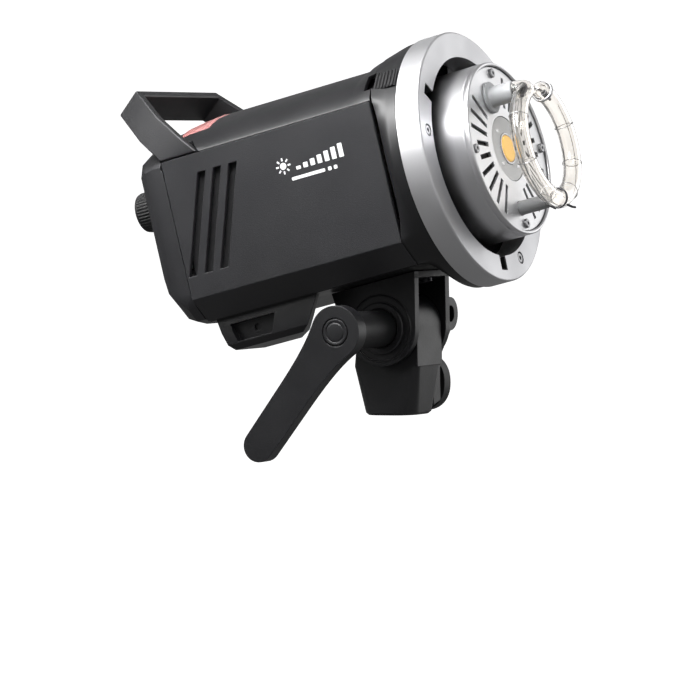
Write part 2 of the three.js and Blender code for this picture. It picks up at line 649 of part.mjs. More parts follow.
function cheek(x0, x1) {
  const tilt = rad(TILT_DEG);
  const shape = new THREE.Shape();
  const r = CHEEK.radius;
  const front = [-r * Math.cos(tilt), -r * Math.sin(tilt)];
  const rise = (YOKE_TOP - front[1]) / Math.cos(tilt);
  shape.moveTo(front[0] - rise * Math.sin(tilt), YOKE_TOP);
  shape.lineTo(front[0], front[1]);
  shape.absarc(0, 0, r, Math.PI + tilt, 2 * Math.PI, false);
  shape.lineTo(r, 11);
  shape.lineTo(r + 2.6, 14.6);
  shape.lineTo(r + 3.4, YOKE_TOP);
  return plateX(shape, x0, x1, 16);
}

function tiltYoke() {
  const base = box(-CHEEK.outer, CHEEK.outer, -24, 21.5, 19.6, YOKE_TOP);
  const near = cheek(-CHEEK.outer, -CHEEK.inner);
  const far = cheek(CHEEK.inner, CHEEK.outer);
  const bore = rodX(0, 0, BOLT_RADIUS + GAP, -25, 25, 24);
  const holes = YOKE_SCREWS.map(([x, y]) => rodZ(x, y, 2, 18, 24, 16));
  const headPocket = rodX(0, 0, 6.9, 16, 20, 6);
  return cut(join(base, near, far), bore, headPocket, ...holes);
}

const yokeScrew = ([x, y]) =>
  join(rodZ(x, y, 3.2, 17.6, 19.3, 16), rodZ(x, y, 1.6, 19, 27.5, 10));

const frictionDisc = (side) => {
  const x0 = side < 0 ? -14.7 : 13.9;
  return cut(rodX(0, 0, 15, x0, x0 + 0.8, 28), rodX(0, 0, BOLT_RADIUS + GAP, x0 - 1, x0 + 2, 16));
};

function tiltBolt() {
  const shank = rodX(0, 0, BOLT_RADIUS, -60, 16.6, 24);
  const head = rodX(0, 0, 6.5, 16.4, 19.2, 6);
  return join(shank, head);
}

// The threaded sleeve that the lever turns, down the outside of the bolt.
const leverSleeve = () =>
  cut(join(rodX(0, 0, 9, -57.6, -19.9, 32), rodX(0, 0, 5.6, -66.2, -57.5, 18)),
    rodX(0, 0, BOLT_RADIUS + GAP, -60.4, -19, 24));

// The lever's outline is drawn along its own length, hub at the origin, and then swung down and back.
function tiltLever() {
  const reach = Math.hypot(LEVER.back, LEVER.down);
  const angle = Math.atan2(-LEVER.down, LEVER.back);
  const shape = new THREE.Shape();
  const leave = rad(72); // where the blade leaves the round hub
  const hub = LEVER.hub;
  const tip = LEVER.tip;
  shape.absarc(0, 0, hub, leave, 2 * Math.PI - leave, false);
  shape.bezierCurveTo(13.5, -9.4, 24, -tip - 0.7, hub + 24, -tip - 0.4);
  shape.lineTo(reach, -tip);
  shape.absarc(reach, 0, tip, -Math.PI / 2, Math.PI / 2, false);
  shape.lineTo(hub + 24, tip + 0.4);
  shape.bezierCurveTo(24, tip + 0.7, 13.5, 9.4, hub * Math.cos(leave), hub * Math.sin(leave));
  const blade = plateX(shape, LEVER.outer, LEVER.inner, 9).rotateX(angle);
  const collar = rodX(0, 0, 10.4, LEVER.inner - 0.5, -58.2, 32);
  const bore = rodX(0, 0, 6, -66.6, -57, 24);
  const capSeat = rodX(0, 0, 6.9, -70, -67.2, 32);
  return cut(join(blade, collar), bore, capSeat);
}
const leverCap = () => rodX(0, 0, 6.5, -69.2, -67.5, 32);

// ---------------------------------------------------------------- stand bracket
function receiverSection(z, half, front, back, corner) {
  const corners = [
    [half - corner, back - corner, 0], [-half + corner, back - corner, 90],
    [-half + corner, front + corner, 180], [half - corner, front + corner, 270],
  ];
  const ring = [];
  for (const [x, y, from] of corners) {
    for (let i = 0; i <= 6; i += 1) {
      const [u, v] = polar(corner, from + i * 15);
      ring.push([x + u, z, y + v]);
    }
  }
  return ring;
}

// Its rings are [x, z, y], as an upright loft takes them.
function receiver() {
  return uprightLoft([
    receiverSection(0, 13.8, -14.4, 11.4, 9), receiverSection(1.2, 14.6, -15.6, 12.4, 8.6),
    receiverSection(24, TONGUE.half, -18.8, 16.6, 3.4), receiverSection(33, TONGUE.half, -19, 15.2, 2.4),
  ]);
}

function standBracket() {
  const shape = new THREE.Shape();
  const r = TONGUE.radius;
  shape.moveTo(PIVOT.y + r, 24);
  shape.lineTo(PIVOT.y + r, PIVOT.z);
  shape.absarc(PIVOT.y, PIVOT.z, r, 0, Math.PI, false);
  shape.lineTo(PIVOT.y - r, 24);
  const tongue = plateX(shape, -TONGUE.half, TONGUE.half, 20);
  const boss = rodX(0, KNOB.z, 7.5, 8, 19.6, 24);
  const ear = rodY(EAR.x, EAR.z, EAR.radius, EAR.front, EAR.back, 32);
  const web = plateY(shapeOf([
    [12, 4], [19.6, 6], [19.6, 21.9], [22.3, 24.4], [22.4, 29.5], [EAR.x + 5.8, 42], [EAR.x + 8, 47],
    [EAR.x - 8.2, 50], [20.8, 25], [20.3, 23.4], [12, 23.4],
  ]), EAR.front + 2, EAR.back - 4);
  const solid = join(receiver(), tongue, boss, ear, web);
  const socket = rodZ(0, 0, SOCKET.radius, -1, SOCKET.depth, 40);
  const tiltBore = rodX(PIVOT.y, PIVOT.z, BOLT_RADIUS + GAP, -20, 16, 24);
  const screwBore = rodX(0, KNOB.z, 4, 6, 22, 24);
  const padBore = rodX(0, KNOB.z, 5.2, 4, 11.4, 24);
  const umbrella = rodY(EAR.x, EAR.z, EAR.hole, EAR.front - 1, EAR.back + 1, 32);
  return cut(solid, socket, tiltBore, screwBore, padBore, umbrella);
}

const clampPad = () => rodX(0, KNOB.z, 4.8, 8.7, 10.8, 24);

function clampKnob() {
  const points = Array.from({ length: 56 }, (_, k) => {
    const deg = (360 * k) / 56;
    return polar(KNOB.radius - 1.1 + 1.1 * Math.cos(rad(deg * 7)), deg);
  });
  const grip = plateX(shapeOf(points.map(([y, z]) => [y, z + KNOB.z])), KNOB.inner, KNOB.outer);
  const neck = rodX(0, KNOB.z, 6.6, KNOB.inner - 3, KNOB.inner + 0.5, 24);
  const dish = rodX(0, KNOB.z, 9.5, KNOB.outer - 1, KNOB.outer + 1, 40);
  const bore = rodX(0, KNOB.z, 3.9, KNOB.inner - 4, KNOB.inner + 4.6, 20);
  return cut(join(grip, neck), dish, bore);
}
const clampScrew = () => rodX(0, KNOB.z, 3.6, 11.1, KNOB.inner + 4.2, 20);

// ---------------------------------------------------------------- assembly
const strobe = new THREE.Group();
const head = new THREE.Group();
head.position.set(0, PIVOT.y, PIVOT.z);
head.rotation.x = -rad(TILT_DEG);
strobe.add(head);

function add(group, name, geometry, material) {
  const mesh = new THREE.Mesh(clean(geometry), material);
  mesh.name = name;
  group.add(mesh);
}

add(strobe, "stand_bracket", standBracket(), BLACK_PLASTIC);
add(strobe, "clamp_pad", clampPad(), BRASS);
add(strobe, "clamp_screw", clampScrew(), STEEL);
add(strobe, "clamp_knob", clampKnob(), RUBBER_BLACK);
add(head, "tilt_yoke", tiltYoke(), BLACK_PLASTIC);
YOKE_SCREWS.forEach((place, i) => add(head, `yoke_screw_${i + 1}`, yokeScrew(place), DARK_STEEL));
add(head, "friction_disc_near", frictionDisc(-1), STEEL);
add(head, "friction_disc_far", frictionDisc(1), STEEL);
add(head, "tilt_bolt", tiltBolt(), DARK_STEEL);
add(head, "lever_sleeve", leverSleeve(), DARK_STEEL);

const lever = new THREE.Group();
lever.rotation.x = rad(TILT_DEG);
head.add(lever);
add(lever, "tilt_lever", tiltLever(), BLACK_PLASTIC);
add(lever, "lever_cap", leverCap(), BLACK_PLASTIC);

const nearPanel = leftPanel();
add(head, "side_panel_near", nearPanel, GREY_PANEL);
add(head, "side_panel_far", mirrored(nearPanel), GREY_PANEL);
add(head, "top_cover", topCover(), BLACK_PLASTIC);
add(head, "bottom_cover", bottomCover(), BLACK_PLASTIC);
add(head, "rear_cap", rearCap(), BLACK_PLASTIC);
add(head, "front_collar", frontCollar(), BLACK_PLASTIC);
add(head, "bulkhead", bulkhead(), STEEL);
add(head, "carry_handle", carryHandle(), BLACK_PLASTIC);
add(head, "sensor_lens", sensorLens(), RED_LENS);

add(head, "bayonet_ring", bayonetRing(), SATIN_ALUMINIUM);
RING_SCREWS.forEach((deg, i) => add(head, `ring_screw_${i + 1}`, ringScrew(deg), STEEL));
[247, 70].forEach((deg, i) => add(head, `ring_leaf_${i + 1}`, ringLeaf(deg), STEEL));
add(head, "lamp_housing", lampHousing(), SATIN_ALUMINIUM);
add(head, "face_plate", facePlate(), SATIN_ALUMINIUM);
FACE_SCREWS.forEach((deg, i) => add(head, `face_screw_${i + 1}`, faceScrew(deg), STEEL));
add(head, "led_board", ledBoard(), CERAMIC_WHITE);
add(head, "led_chip", ledChip(), YELLOW_LED);
add(head, "tube_post_upper", upperPost(), STEEL);
add(head, "tube_post_lower", lowerPost(), DARK_STEEL);
add(head, "flash_tube", flashTube(), CLEAR_GLASS);
add(head, "release_slider", releaseSlider(), BLACK_PLASTIC);
add(head, "lock_tongue", lockTongue(), STEEL);

add(head, "control_panel", controlPanel(), BLACK_PLASTIC);
add(head, "screen_window", screenWindow(), DARK_GLASS);
BUTTONS.forEach((x, i) => add(head, `menu_button_${i + 1}`, menuButton(x), RUBBER_BLACK));
add(head, "test_button", testButton(), RUBBER_BLACK);
add(head, "dial_shaft", dialShaft(), STEEL);
add(head, "dial_knob", dialKnob(), BLACK_PLASTIC);
add(head, "display_board", displayBoard(), BOARD_GREEN);
add(head, "power_inlet", powerInlet(), RUBBER_BLACK);
add(head, "rocker_switch", rockerSwitch(), RUBBER_BLACK);
add(head, "sync_jack", syncJack(), BRASS);

add(head, "fan_frame", fanFrame(), BLACK_PLASTIC);
add(head, "fan_rotor", fanRotor(), BLACK_PLASTIC);
add(head, "flash_capacitor_1", capacitor(-17), SLEEVE_BLUE);
add(head, "flash_capacitor_2", capacitor(17), SLEEVE_BLUE);
add(head, "main_board", mainBoard(), BOARD_GREEN);
add(head, "charging_transformer", transformer(), BRASS);

export default strobe;
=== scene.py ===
"""A monolight studio strobe: materials, fine surfaces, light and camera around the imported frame."""
import json
import math
import bmesh
import bpy
from mathutils import Matrix, Vector

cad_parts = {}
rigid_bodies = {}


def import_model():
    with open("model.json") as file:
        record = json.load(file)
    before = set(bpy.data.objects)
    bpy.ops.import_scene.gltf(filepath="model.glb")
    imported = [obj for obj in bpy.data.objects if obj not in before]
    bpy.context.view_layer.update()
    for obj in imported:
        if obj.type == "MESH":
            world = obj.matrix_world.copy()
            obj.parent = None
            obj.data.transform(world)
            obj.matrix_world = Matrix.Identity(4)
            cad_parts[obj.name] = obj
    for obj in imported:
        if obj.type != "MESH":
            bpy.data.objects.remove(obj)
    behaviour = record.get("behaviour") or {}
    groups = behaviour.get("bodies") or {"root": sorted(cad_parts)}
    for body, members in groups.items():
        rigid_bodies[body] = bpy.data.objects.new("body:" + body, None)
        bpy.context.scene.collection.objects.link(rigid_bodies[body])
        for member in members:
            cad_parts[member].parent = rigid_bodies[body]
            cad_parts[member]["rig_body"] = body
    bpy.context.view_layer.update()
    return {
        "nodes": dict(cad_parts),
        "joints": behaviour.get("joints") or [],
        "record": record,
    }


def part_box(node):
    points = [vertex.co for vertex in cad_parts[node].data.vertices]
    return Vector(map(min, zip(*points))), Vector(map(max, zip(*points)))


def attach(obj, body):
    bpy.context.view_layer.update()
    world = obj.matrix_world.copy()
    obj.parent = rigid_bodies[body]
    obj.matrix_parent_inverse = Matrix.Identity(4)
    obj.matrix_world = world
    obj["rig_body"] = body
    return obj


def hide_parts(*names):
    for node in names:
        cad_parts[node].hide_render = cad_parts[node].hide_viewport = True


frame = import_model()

scene = bpy.context.scene
MM = 0.001
NODES = frame["nodes"]
MOUNTS = {m["name"]: m for m in frame["record"]["mounts"]}
JOINTS = {j["name"]: j for j in frame["joints"]}

# ------------------------------------------------------------------ places worked out from the frame
RING_DEPTH = 12.5
RING_OUTER = 62.5
FORWARD = Vector(MOUNTS["bayonet_face"]["axis"]).normalized()
UP = Vector((1, 0, 0)).cross(-FORWARD)
ring_low, ring_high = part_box("bayonet_ring")
RING_CENTRE = (ring_low + ring_high) / 2 + FORWARD * RING_DEPTH / 2 * MM
PIVOT = Vector(JOINTS["head_tilt"]["pos_m"])


def frame_matrix(x_axis, y_axis, z_axis, origin):
    m = Matrix((x_axis, y_axis, z_axis)).transposed().to_4x4()
    m.translation = origin
    return m


# Lamp frame: x across, y is the depth behind the ring's front face, z is the height above the axis.
LAMP = frame_matrix(Vector((1, 0, 0)), -FORWARD, UP, RING_CENTRE)
# Pivot frame: the row's own directions, with the tilt bolt's axis at the origin.
AT_PIVOT = Matrix.Translation(PIVOT)
AT_ROW = Matrix.Identity(4)


# ------------------------------------------------------------------ materials
def new_material(name):
    m = bpy.data.materials.new(name)
    m.use_nodes = True
    tree = m.node_tree
    return m, tree, tree.nodes["Principled BSDF"]


def link(tree, a, b):
    tree.links.new(a, b)


def node(tree, kind, **inputs):
    n = tree.nodes.new(kind)
    for key, value in inputs.items():
        if key in n.inputs:
            n.inputs[key].default_value = value
        else:
            setattr(n, key, value)
    return n


def noise(tree, scale, detail=3.0, rough=0.5, stretch=None):
    coord = tree.nodes.new("ShaderNodeTexCoord")
    tex = tree.nodes.new("ShaderNodeTexNoise")
    tex.inputs["Scale"].default_value = scale
    tex.inputs["Detail"].default_value = detail
    tex.inputs["Roughness"].default_value = rough
    if stretch:
        mapping = tree.nodes.new("ShaderNodeMapping")
        mapping.inputs["Scale"].default_value = stretch
        link(tree, coord.outputs["Object"], mapping.inputs["Vector"])
        link(tree, mapping.outputs["Vector"], tex.inputs["Vector"])
    else:
        link(tree, coord.outputs["Object"], tex.inputs["Vector"])
    return tex.outputs["Fac"]


def spread(tree, source, low, high, at=(0.3, 0.7)):
    r = tree.nodes.new("ShaderNodeMapRange")
    r.inputs["From Min"].default_value, r.inputs["From Max"].default_value = at
    r.inputs["To Min"].default_value, r.inputs["To Max"].default_value = low, high
    link(tree, source, r.inputs["Value"])
    return r.outputs["Result"]


def mix_colour(tree, factor, a, b):
    """A blend from a to b, each a plain colour or another node's output."""
    m = tree.nodes.new("ShaderNodeMix")
    m.data_type = "RGBA"
    link(tree, factor, m.inputs["Factor"])
    colour_a, colour_b = [i for i in m.inputs if i.type == "RGBA"]
    for socket, value in ((colour_a, a), (colour_b, b)):
        if isinstance(value, tuple):
            socket.default_value = (*value, 1)
        else:
            link(tree, value, socket)
    return next(o for o in m.outputs if o.type == "RGBA")


def lamp_reach(tree, direction):
    """How far each point of a piece lies along a direction from the ring's centre, in metres."""
    coord = tree.nodes.new("ShaderNodeTexCoord")
    dot = node(tree, "ShaderNodeVectorMath", operation="DOT_PRODUCT")
    link(tree, coord.outputs["Object"], dot.inputs[0])
    dot.inputs[1].default_value = direction
    away = node(tree, "ShaderNodeMath", operation="SUBTRACT")
    link(tree, dot.outputs["Value"], away.inputs[0])
    away.inputs[1].default_value = direction.dot(RING_CENTRE)
    return away.outputs[0]


def edge_mask(tree, radius):
    """A softened normal at edges, and a mask that is 1 on the edges themselves."""
    soft = node(tree, "ShaderNodeBevel", samples=4)
    soft.inputs["Radius"].default_value = radius
    geo = tree.nodes.new("ShaderNodeNewGeometry")
    dot = node(tree, "ShaderNodeVectorMath", operation="DOT_PRODUCT")
    link(tree, soft.outputs["Normal"], dot.inputs[0])
    link(tree, geo.outputs["Normal"], dot.inputs[1])
    mask = spread(tree, dot.outputs["Value"], 1.0, 0.0, at=(0.86, 0.995))
    return soft.outputs["Normal"], mask


TONE_SCALE = 14.0
WEAR_AND_HIGHLIGHT_SCALE = 160.0
ROUGHNESS_SCALE = 45.0
ROUGHNESS_SPREAD = 0.06
BUMP_DEPTH = 0.0002


def finish_material(name, colour, roughness, metallic=0.0, grain=900.0, bump=0.15, edge_wear_and_highlight=0.35,
                    edge_wear_and_highlight_colour=None, edge=0.35, tone=0.12, stretch=None, coat=0.0, tone_band_and_painted_shade=None, along=None):
    """Base colour with slow tone changes, lighter edges that are partly wear and partly a painted highlight,
    uneven roughness and a fine bump.

    The second colour and its two distances, in millimetres, between which it takes over, give a two-tone line
    on one material and painted shade on another.
    """
    m, tree, bsdf = new_material(name)
    normal, mask = edge_mask(tree, edge * MM)
    light = tuple(min(1.0, c * (1 + tone)) for c in colour)
    dark = tuple(c * (1 - tone) for c in colour)
    base = mix_colour(tree, spread(tree, noise(tree, TONE_SCALE, 4.0), 0.0, 1.0), dark, light)
    # Lighter edges: partly real wear, partly a painted highlight along the edges.
    worn_and_highlight_colour = edge_wear_and_highlight_colour or tuple(min(1.0, c * 2.2 + 0.02) for c in colour)
    wear_and_highlight_share = node(tree, "ShaderNodeMath", operation="MULTIPLY")
    link(tree, mask, wear_and_highlight_share.inputs[0])
    link(tree, spread(tree, noise(tree, WEAR_AND_HIGHLIGHT_SCALE, 5.0), 0.3 * edge_wear_and_highlight, edge_wear_and_highlight), wear_and_highlight_share.inputs[1])
    colour_out = mix_colour(tree, wear_and_highlight_share.outputs[0], base, worn_and_highlight_colour)
    # A second colour by distance along a direction: a two-tone line on the cap, painted shade toward the ring
    # on the drum.
    if tone_band_and_painted_shade:
        deep, start, end = tone_band_and_painted_shade
        reach = lamp_reach(tree, along or -FORWARD)
        share = spread(tree, reach, 0.0, 1.0, at=(start * MM, end * MM))
        colour_out = mix_colour(tree, share, colour_out, deep)
    link(tree, colour_out, bsdf.inputs["Base Color"])
    uneven = spread(tree, noise(tree, ROUGHNESS_SCALE, 4.0), roughness - ROUGHNESS_SPREAD,
                    roughness + ROUGHNESS_SPREAD)
    link(tree, uneven, bsdf.inputs["Roughness"])
    bsdf.inputs["Metallic"].default_value = metallic
    bsdf.inputs["Coat Weight"].default_value = coat
    b = node(tree, "ShaderNodeBump", Strength=bump, Distance=BUMP_DEPTH)
    link(tree, noise(tree, grain, 2.0, 0.6, stretch), b.inputs["Height"])
    link(tree, normal, b.inputs["Normal"])
    link(tree, b.outputs["Normal"], bsdf.inputs["Normal"])
    return m


def glass_material(name, tint, roughness, ior):
    m, tree, bsdf = new_material(name)
    link(tree, mix_colour(tree, spread(tree, noise(tree, 60.0), 0.0, 1.0), tint,
                          tuple(c * 0.94 for c in tint)), bsdf.inputs["Base Color"])
    link(tree, spread(tree, noise(tree, 90.0), roughness, roughness + 0.03), bsdf.inputs["Roughness"])
    bsdf.inputs["Transmission Weight"].default_value = 1.0
    bsdf.inputs["IOR"].default_value = ior
    b = node(tree, "ShaderNodeBump", Strength=0.25, Distance=0.0003)
    link(tree, noise(tree, 120.0, 2.0), b.inputs["Height"])
    link(tree, b.outputs["Normal"], bsdf.inputs["Normal"])
    return m


BLACK = (0.0065, 0.0065, 0.0075)
GREY = (0.017, 0.017, 0.019)
BARE_METAL = (0.95, 0.95, 0.96)
SHOULDER_LINE = (33.5, 34.1)

PLASTIC = finish_material("black_shell", BLACK, 0.38, bump=0.12, grain=1500, edge_wear_and_highlight=0.3, edge=0.5)
PANEL = finish_material("panel_grey", GREY, 0.42, bump=0.4, grain=2100, edge_wear_and_highlight=0.3, edge=0.4, tone=0.16)
CAP = finish_material("cap_grey", GREY, 0.42, bump=0.4, grain=2100, edge_wear_and_highlight=0.3, edge=0.4, tone=0.16,
                      tone_band_and_painted_shade=(BLACK, *SHOULDER_LINE), along=UP)
HANDLE = finish_material("handle_black", (0.012, 0.012, 0.0135), 0.44, bump=0.3, grain=1500, edge_wear_and_highlight=0.9,
                         edge_wear_and_highlight_colour=(0.16, 0.16, 0.17), edge=0.5)
CAST = finish_material("cast_black", (0.0075, 0.0075, 0.0088), 0.42, bump=0.25, grain=1200, edge=0.6)
LEVER = finish_material("lever_grey", (0.0095, 0.0095, 0.011), 0.42, bump=0.3, grain=1200, edge_wear_and_highlight=0.4, edge=0.6)
RUBBER = finish_material("rubber", (0.007, 0.007, 0.0078), 0.52, bump=0.35, grain=900, edge_wear_and_highlight=0.25, edge=0.5)
LINER = finish_material("liner_black", (0.006, 0.006, 0.007), 0.7, bump=0.2, grain=900, edge_wear_and_highlight=0.1, edge=0.2)
SATIN = finish_material("satin_aluminium", (0.64, 0.64, 0.655), 0.47, metallic=1.0, bump=0.08, grain=2600,
                        edge_wear_and_highlight=0.5, edge_wear_and_highlight_colour=BARE_METAL, tone=0.03, edge=0.25)
# Painted shade: the drum darkens from its front rim back into the ring, standing in for the shade there.
DRUM = finish_material("drum_aluminium", (0.74, 0.74, 0.755), 0.34, metallic=1.0, bump=0.06, grain=2600,
                       edge_wear_and_highlight=0.5, edge_wear_and_highlight_colour=BARE_METAL, tone=0.03, edge=0.25,
                       tone_band_and_painted_shade=((0.05, 0.05, 0.052), -7.0, 6.0))
PLATE = finish_material("plate_silver", (0.80, 0.80, 0.81), 0.42, metallic=0.85, bump=0.08, grain=2600,
                        edge_wear_and_highlight=0.5, edge_wear_and_highlight_colour=BARE_METAL, tone=0.03, edge=0.2)
STEEL = finish_material("bright_steel", (0.55, 0.55, 0.56), 0.3, metallic=1.0, bump=0.08, grain=2200,
                        edge_wear_and_highlight=0.4, edge_wear_and_highlight_colour=(0.85, 0.85, 0.85), tone=0.05, edge=0.15)
SCREW = finish_material("screw_steel", (0.36, 0.36, 0.37), 0.34, metallic=1.0, bump=0.08, grain=2200,
                        edge_wear_and_highlight=0.6, edge_wear_and_highlight_colour=(0.8, 0.8, 0.8), tone=0.08, edge=0.15)
DARK_STEEL = finish_material("dark_steel", (0.09, 0.09, 0.10), 0.38, metallic=0.9, bump=0.1, grain=1600,
                             edge_wear_and_highlight=0.6, edge_wear_and_highlight_colour=(0.5, 0.5, 0.5), tone=0.1, edge=0.2)
POST_GREY = finish_material("post_grey", (0.42, 0.43, 0.44), 0.4, bump=0.06, grain=1600, edge_wear_and_highlight=0.3, edge=0.3)
POST_DARK = finish_material("post_dark", (0.30, 0.305, 0.31), 0.42, bump=0.06, grain=1600, edge_wear_and_highlight=0.3, edge=0.3)
LENS = finish_material("sensor_red", (0.36, 0.15, 0.145), 0.3, bump=0.05, grain=500, edge_wear_and_highlight=0.04, edge=0.3,
                       coat=0.4)
CERAMIC = finish_material("ceramic", (0.84, 0.84, 0.83), 0.45, bump=0.06, grain=1800, edge_wear_and_highlight=0.1, edge=0.1)
PHOSPHOR = finish_material("phosphor", (1.0, 0.62, 0.15), 0.5, bump=0.12, grain=2500, edge_wear_and_highlight=0.1, edge=0.1)
INK = finish_material("printed_ink", (0.78, 0.78, 0.79), 0.5, bump=0.05, grain=2400, edge_wear_and_highlight=0.1, edge=0.05,
                      tone=0.03)
BRASS = finish_material("brass", (0.62, 0.45, 0.18), 0.3, metallic=1.0, bump=0.08, grain=1400, edge_wear_and_highlight=0.4,
                        edge=0.2)
BOARD = finish_material("board_green", (0.02, 0.13, 0.06), 0.4, bump=0.15, grain=700, edge_wear_and_highlight=0.2, edge=0.1)
SLEEVE = finish_material("sleeve_blue", (0.015, 0.03, 0.10), 0.35, bump=0.05, grain=700, edge_wear_and_highlight=0.2, edge=0.4)
WINDING = finish_material("winding", (0.42, 0.18, 0.06), 0.4, bump=0.4, grain=300, edge_wear_and_highlight=0.2, edge=0.3,
                          stretch=(1, 12, 1))
SCREEN = finish_material("screen_black", (0.008, 0.009, 0.011), 0.12, bump=0.01, grain=300, edge_wear_and_highlight=0.1,
                         edge=0.2)
GLASS = glass_material("tube_glass", (0.97, 0.95, 0.92), 0.02, 1.46)

phosphor_sockets = PHOSPHOR.node_tree.nodes["Principled BSDF"].inputs
phosphor_sockets["Emission Color"].default_value = (1.0, 0.58, 0.20, 1)
phosphor_sockets["Emission Strength"].default_value = 0.45


# ------------------------------------------------------------------ mesh helpers
def smooth(mesh, angle=32.0):
    mesh.polygons.foreach_set("use_smooth", [True] * len(mesh.polygons))
    mesh.set_sharp_from_angle(angle=math.radians(angle))


def sharp_edges(bm, angle):
    """The edges whose two faces meet at more than an angle in degrees."""
    return [e for e in bm.edges if len(e.link_faces) == 2 and e.calc_face_angle(0) > math.radians(angle)]


def round_edges(bm, width, angle, segments=3):
    edges = sharp_edges(bm, angle)
    if edges and width > 0:
        bmesh.ops.bevel(bm, geom=edges, offset=width, offset_type="OFFSET", segments=segments, profile=0.5,
                        affect="EDGES", clamp_overlap=True, loop_slide=True)


def bevel_rim(bm, width, segments, angle=60.0):
    """Rounds the sharp edges of a piece that is still drawn in millimetres."""
    bmesh.ops.bevel(bm, geom=sharp_edges(bm, angle), offset=width, segments=segments, profile=0.5,
                    affect="EDGES", clamp_overlap=True)


def piece(name, bm, material, body, replaces=(), place=LAMP, angle=32.0):
    """One finished piece from a mesh drawn in millimetres in its own frame."""
    bmesh.ops.transform(bm, matrix=place @ Matrix.Scale(MM, 4), verts=bm.verts)
    return metre_piece(name, bm, material, body, replaces, angle)


def metre_piece(name, bm, material, body, replaces=(), angle=32.0):
    bmesh.ops.recalc_face_normals(bm, faces=bm.faces)
    mesh = bpy.data.meshes.new(name)
    bm.to_mesh(mesh)
    bm.free()
    smooth(mesh, angle)
    obj = bpy.data.objects.new(name, mesh)
    scene.collection.objects.link(obj)
    mesh.materials.append(material)
    weighted = obj.modifiers.new("weighted", "WEIGHTED_NORMAL")
    weighted.keep_sharp = True
    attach(obj, body)
    if replaces:
        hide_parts(*replaces)
    return obj


def body_of_node(name):
    return NODES[name]["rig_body"]


def refined(name, material, edge):
    """The node's own solid, cleaned and given rounded edges, as a new piece that stands for it."""
    bm = bmesh.new()
    bm.from_mesh(NODES[name].data)
    bmesh.ops.remove_doubles(bm, verts=bm.verts, dist=0.02 * MM)
    bmesh.ops.dissolve_limit(bm, angle_limit=math.radians(1.0), verts=bm.verts, edges=bm.edges)
    round_edges(bm, edge * MM, 30.0)
    metre_piece(name + "_skin", bm, material, body_of_node(name), (name,))


def paint(name, material):
    """A node whose own shape is right keeps it and takes a material."""
    mesh = NODES[name].data
    mesh.materials.clear()
    mesh.materials.append(material)
    mesh.polygons.foreach_set("use_smooth", [True] * len(mesh.polygons))


def polar(r, deg):
    return r * math.cos(math.radians(deg)), r * math.sin(math.radians(deg))


def circle(radius, sides, centre=(0.0, 0.0)):
    around = [polar(radius, 360 * k / sides) for k in range(sides)]
    return [(centre[0] + u, centre[1] + v) for u, v in around]


def revolve(bm, profile, sides, centre=(0.0, 0.0), axis="Y"):
    """A closed profile of (radius, along) turned about an axis; ends on radius 0 close with a fan."""
    rings = []
    for radius, along in profile:
        if radius < 1e-6:
            points = [centre]
        else:
            points = circle(radius, sides, centre)
        rings.append([bm.verts.new((u, along, v) if axis == "Y" else (along, u, v)) for u, v in points])
    for a, b in zip(rings, rings[1:]):
        for k in range(sides):
            n = (k + 1) % sides
            if len(a) == 1 and len(b) == 1:
                break
            if len(a) == 1:
                bm.faces.new((a[0], b[k], b[n]))
            elif len(b) == 1:
                bm.faces.new((a[k], b[0], a[n]))
            else:
                bm.faces.new((a[k], b[k], b[n], a[n]))
    if len(rings[0]) > 1 and len(rings[-1]) > 1 and profile[0] != profile[-1]:
        for row in (rings[0], rings[-1]):
            bm.faces.new(row)
    return bm


def arc(cx, cy, r, a0, a1, steps=6):
    """Points on an arc of (radius, along) pairs, angles in degrees."""
    turns = [polar(r, a0 + (a1 - a0) * k / steps) for k in range(steps + 1)]
    return [(cx + u, cy + v) for u, v in turns]


def prism(bm, outline, low, high, axis="Y"):
    """An outline of (u, v) pushed from low to high along an axis."""
    a, b = ([bm.verts.new((u, end, v) if axis == "Y" else (end, u, v)) for u, v in outline]
            for end in (low, high))
    bm.faces.new(a)
    bm.faces.new(b)
    for k in range(len(outline)):
        n = (k + 1) % len(outline)
        bm.faces.new((a[k], a[n], b[n], b[k]))
    return bm


def rectangle(x0, x1, z0, z1, corner=0.0, steps=5):
    if corner <= 0:
        return [(x0, z0), (x1, z0), (x1, z1), (x0, z1)]
    points = []
    for cx, cz, start in ((x1 - corner, z1 - corner, 0), (x0 + corner, z1 - corner, 90),
                          (x0 + corner, z0 + corner, 180), (x1 - corner, z0 + corner, 270)):
        points += arc(cx, cz, corner, start, start + 90, steps)
    return points


def turned(outline, deg, centre=(0.0, 0.0)):
    """An outline turned about the origin by deg, then moved to a centre."""
    c, s = polar(1.0, deg)
    return [(centre[0] + u * c - v * s, centre[1] + u * s + v * c) for u, v in outline]


def turned_box(x0, x1, half, deg):
    """A box outline from x0 to x1 along a ray at deg, as (x, z) points."""
    return turned(((x0, -half), (x1, -half), (x1, half), (x0, half)), deg)


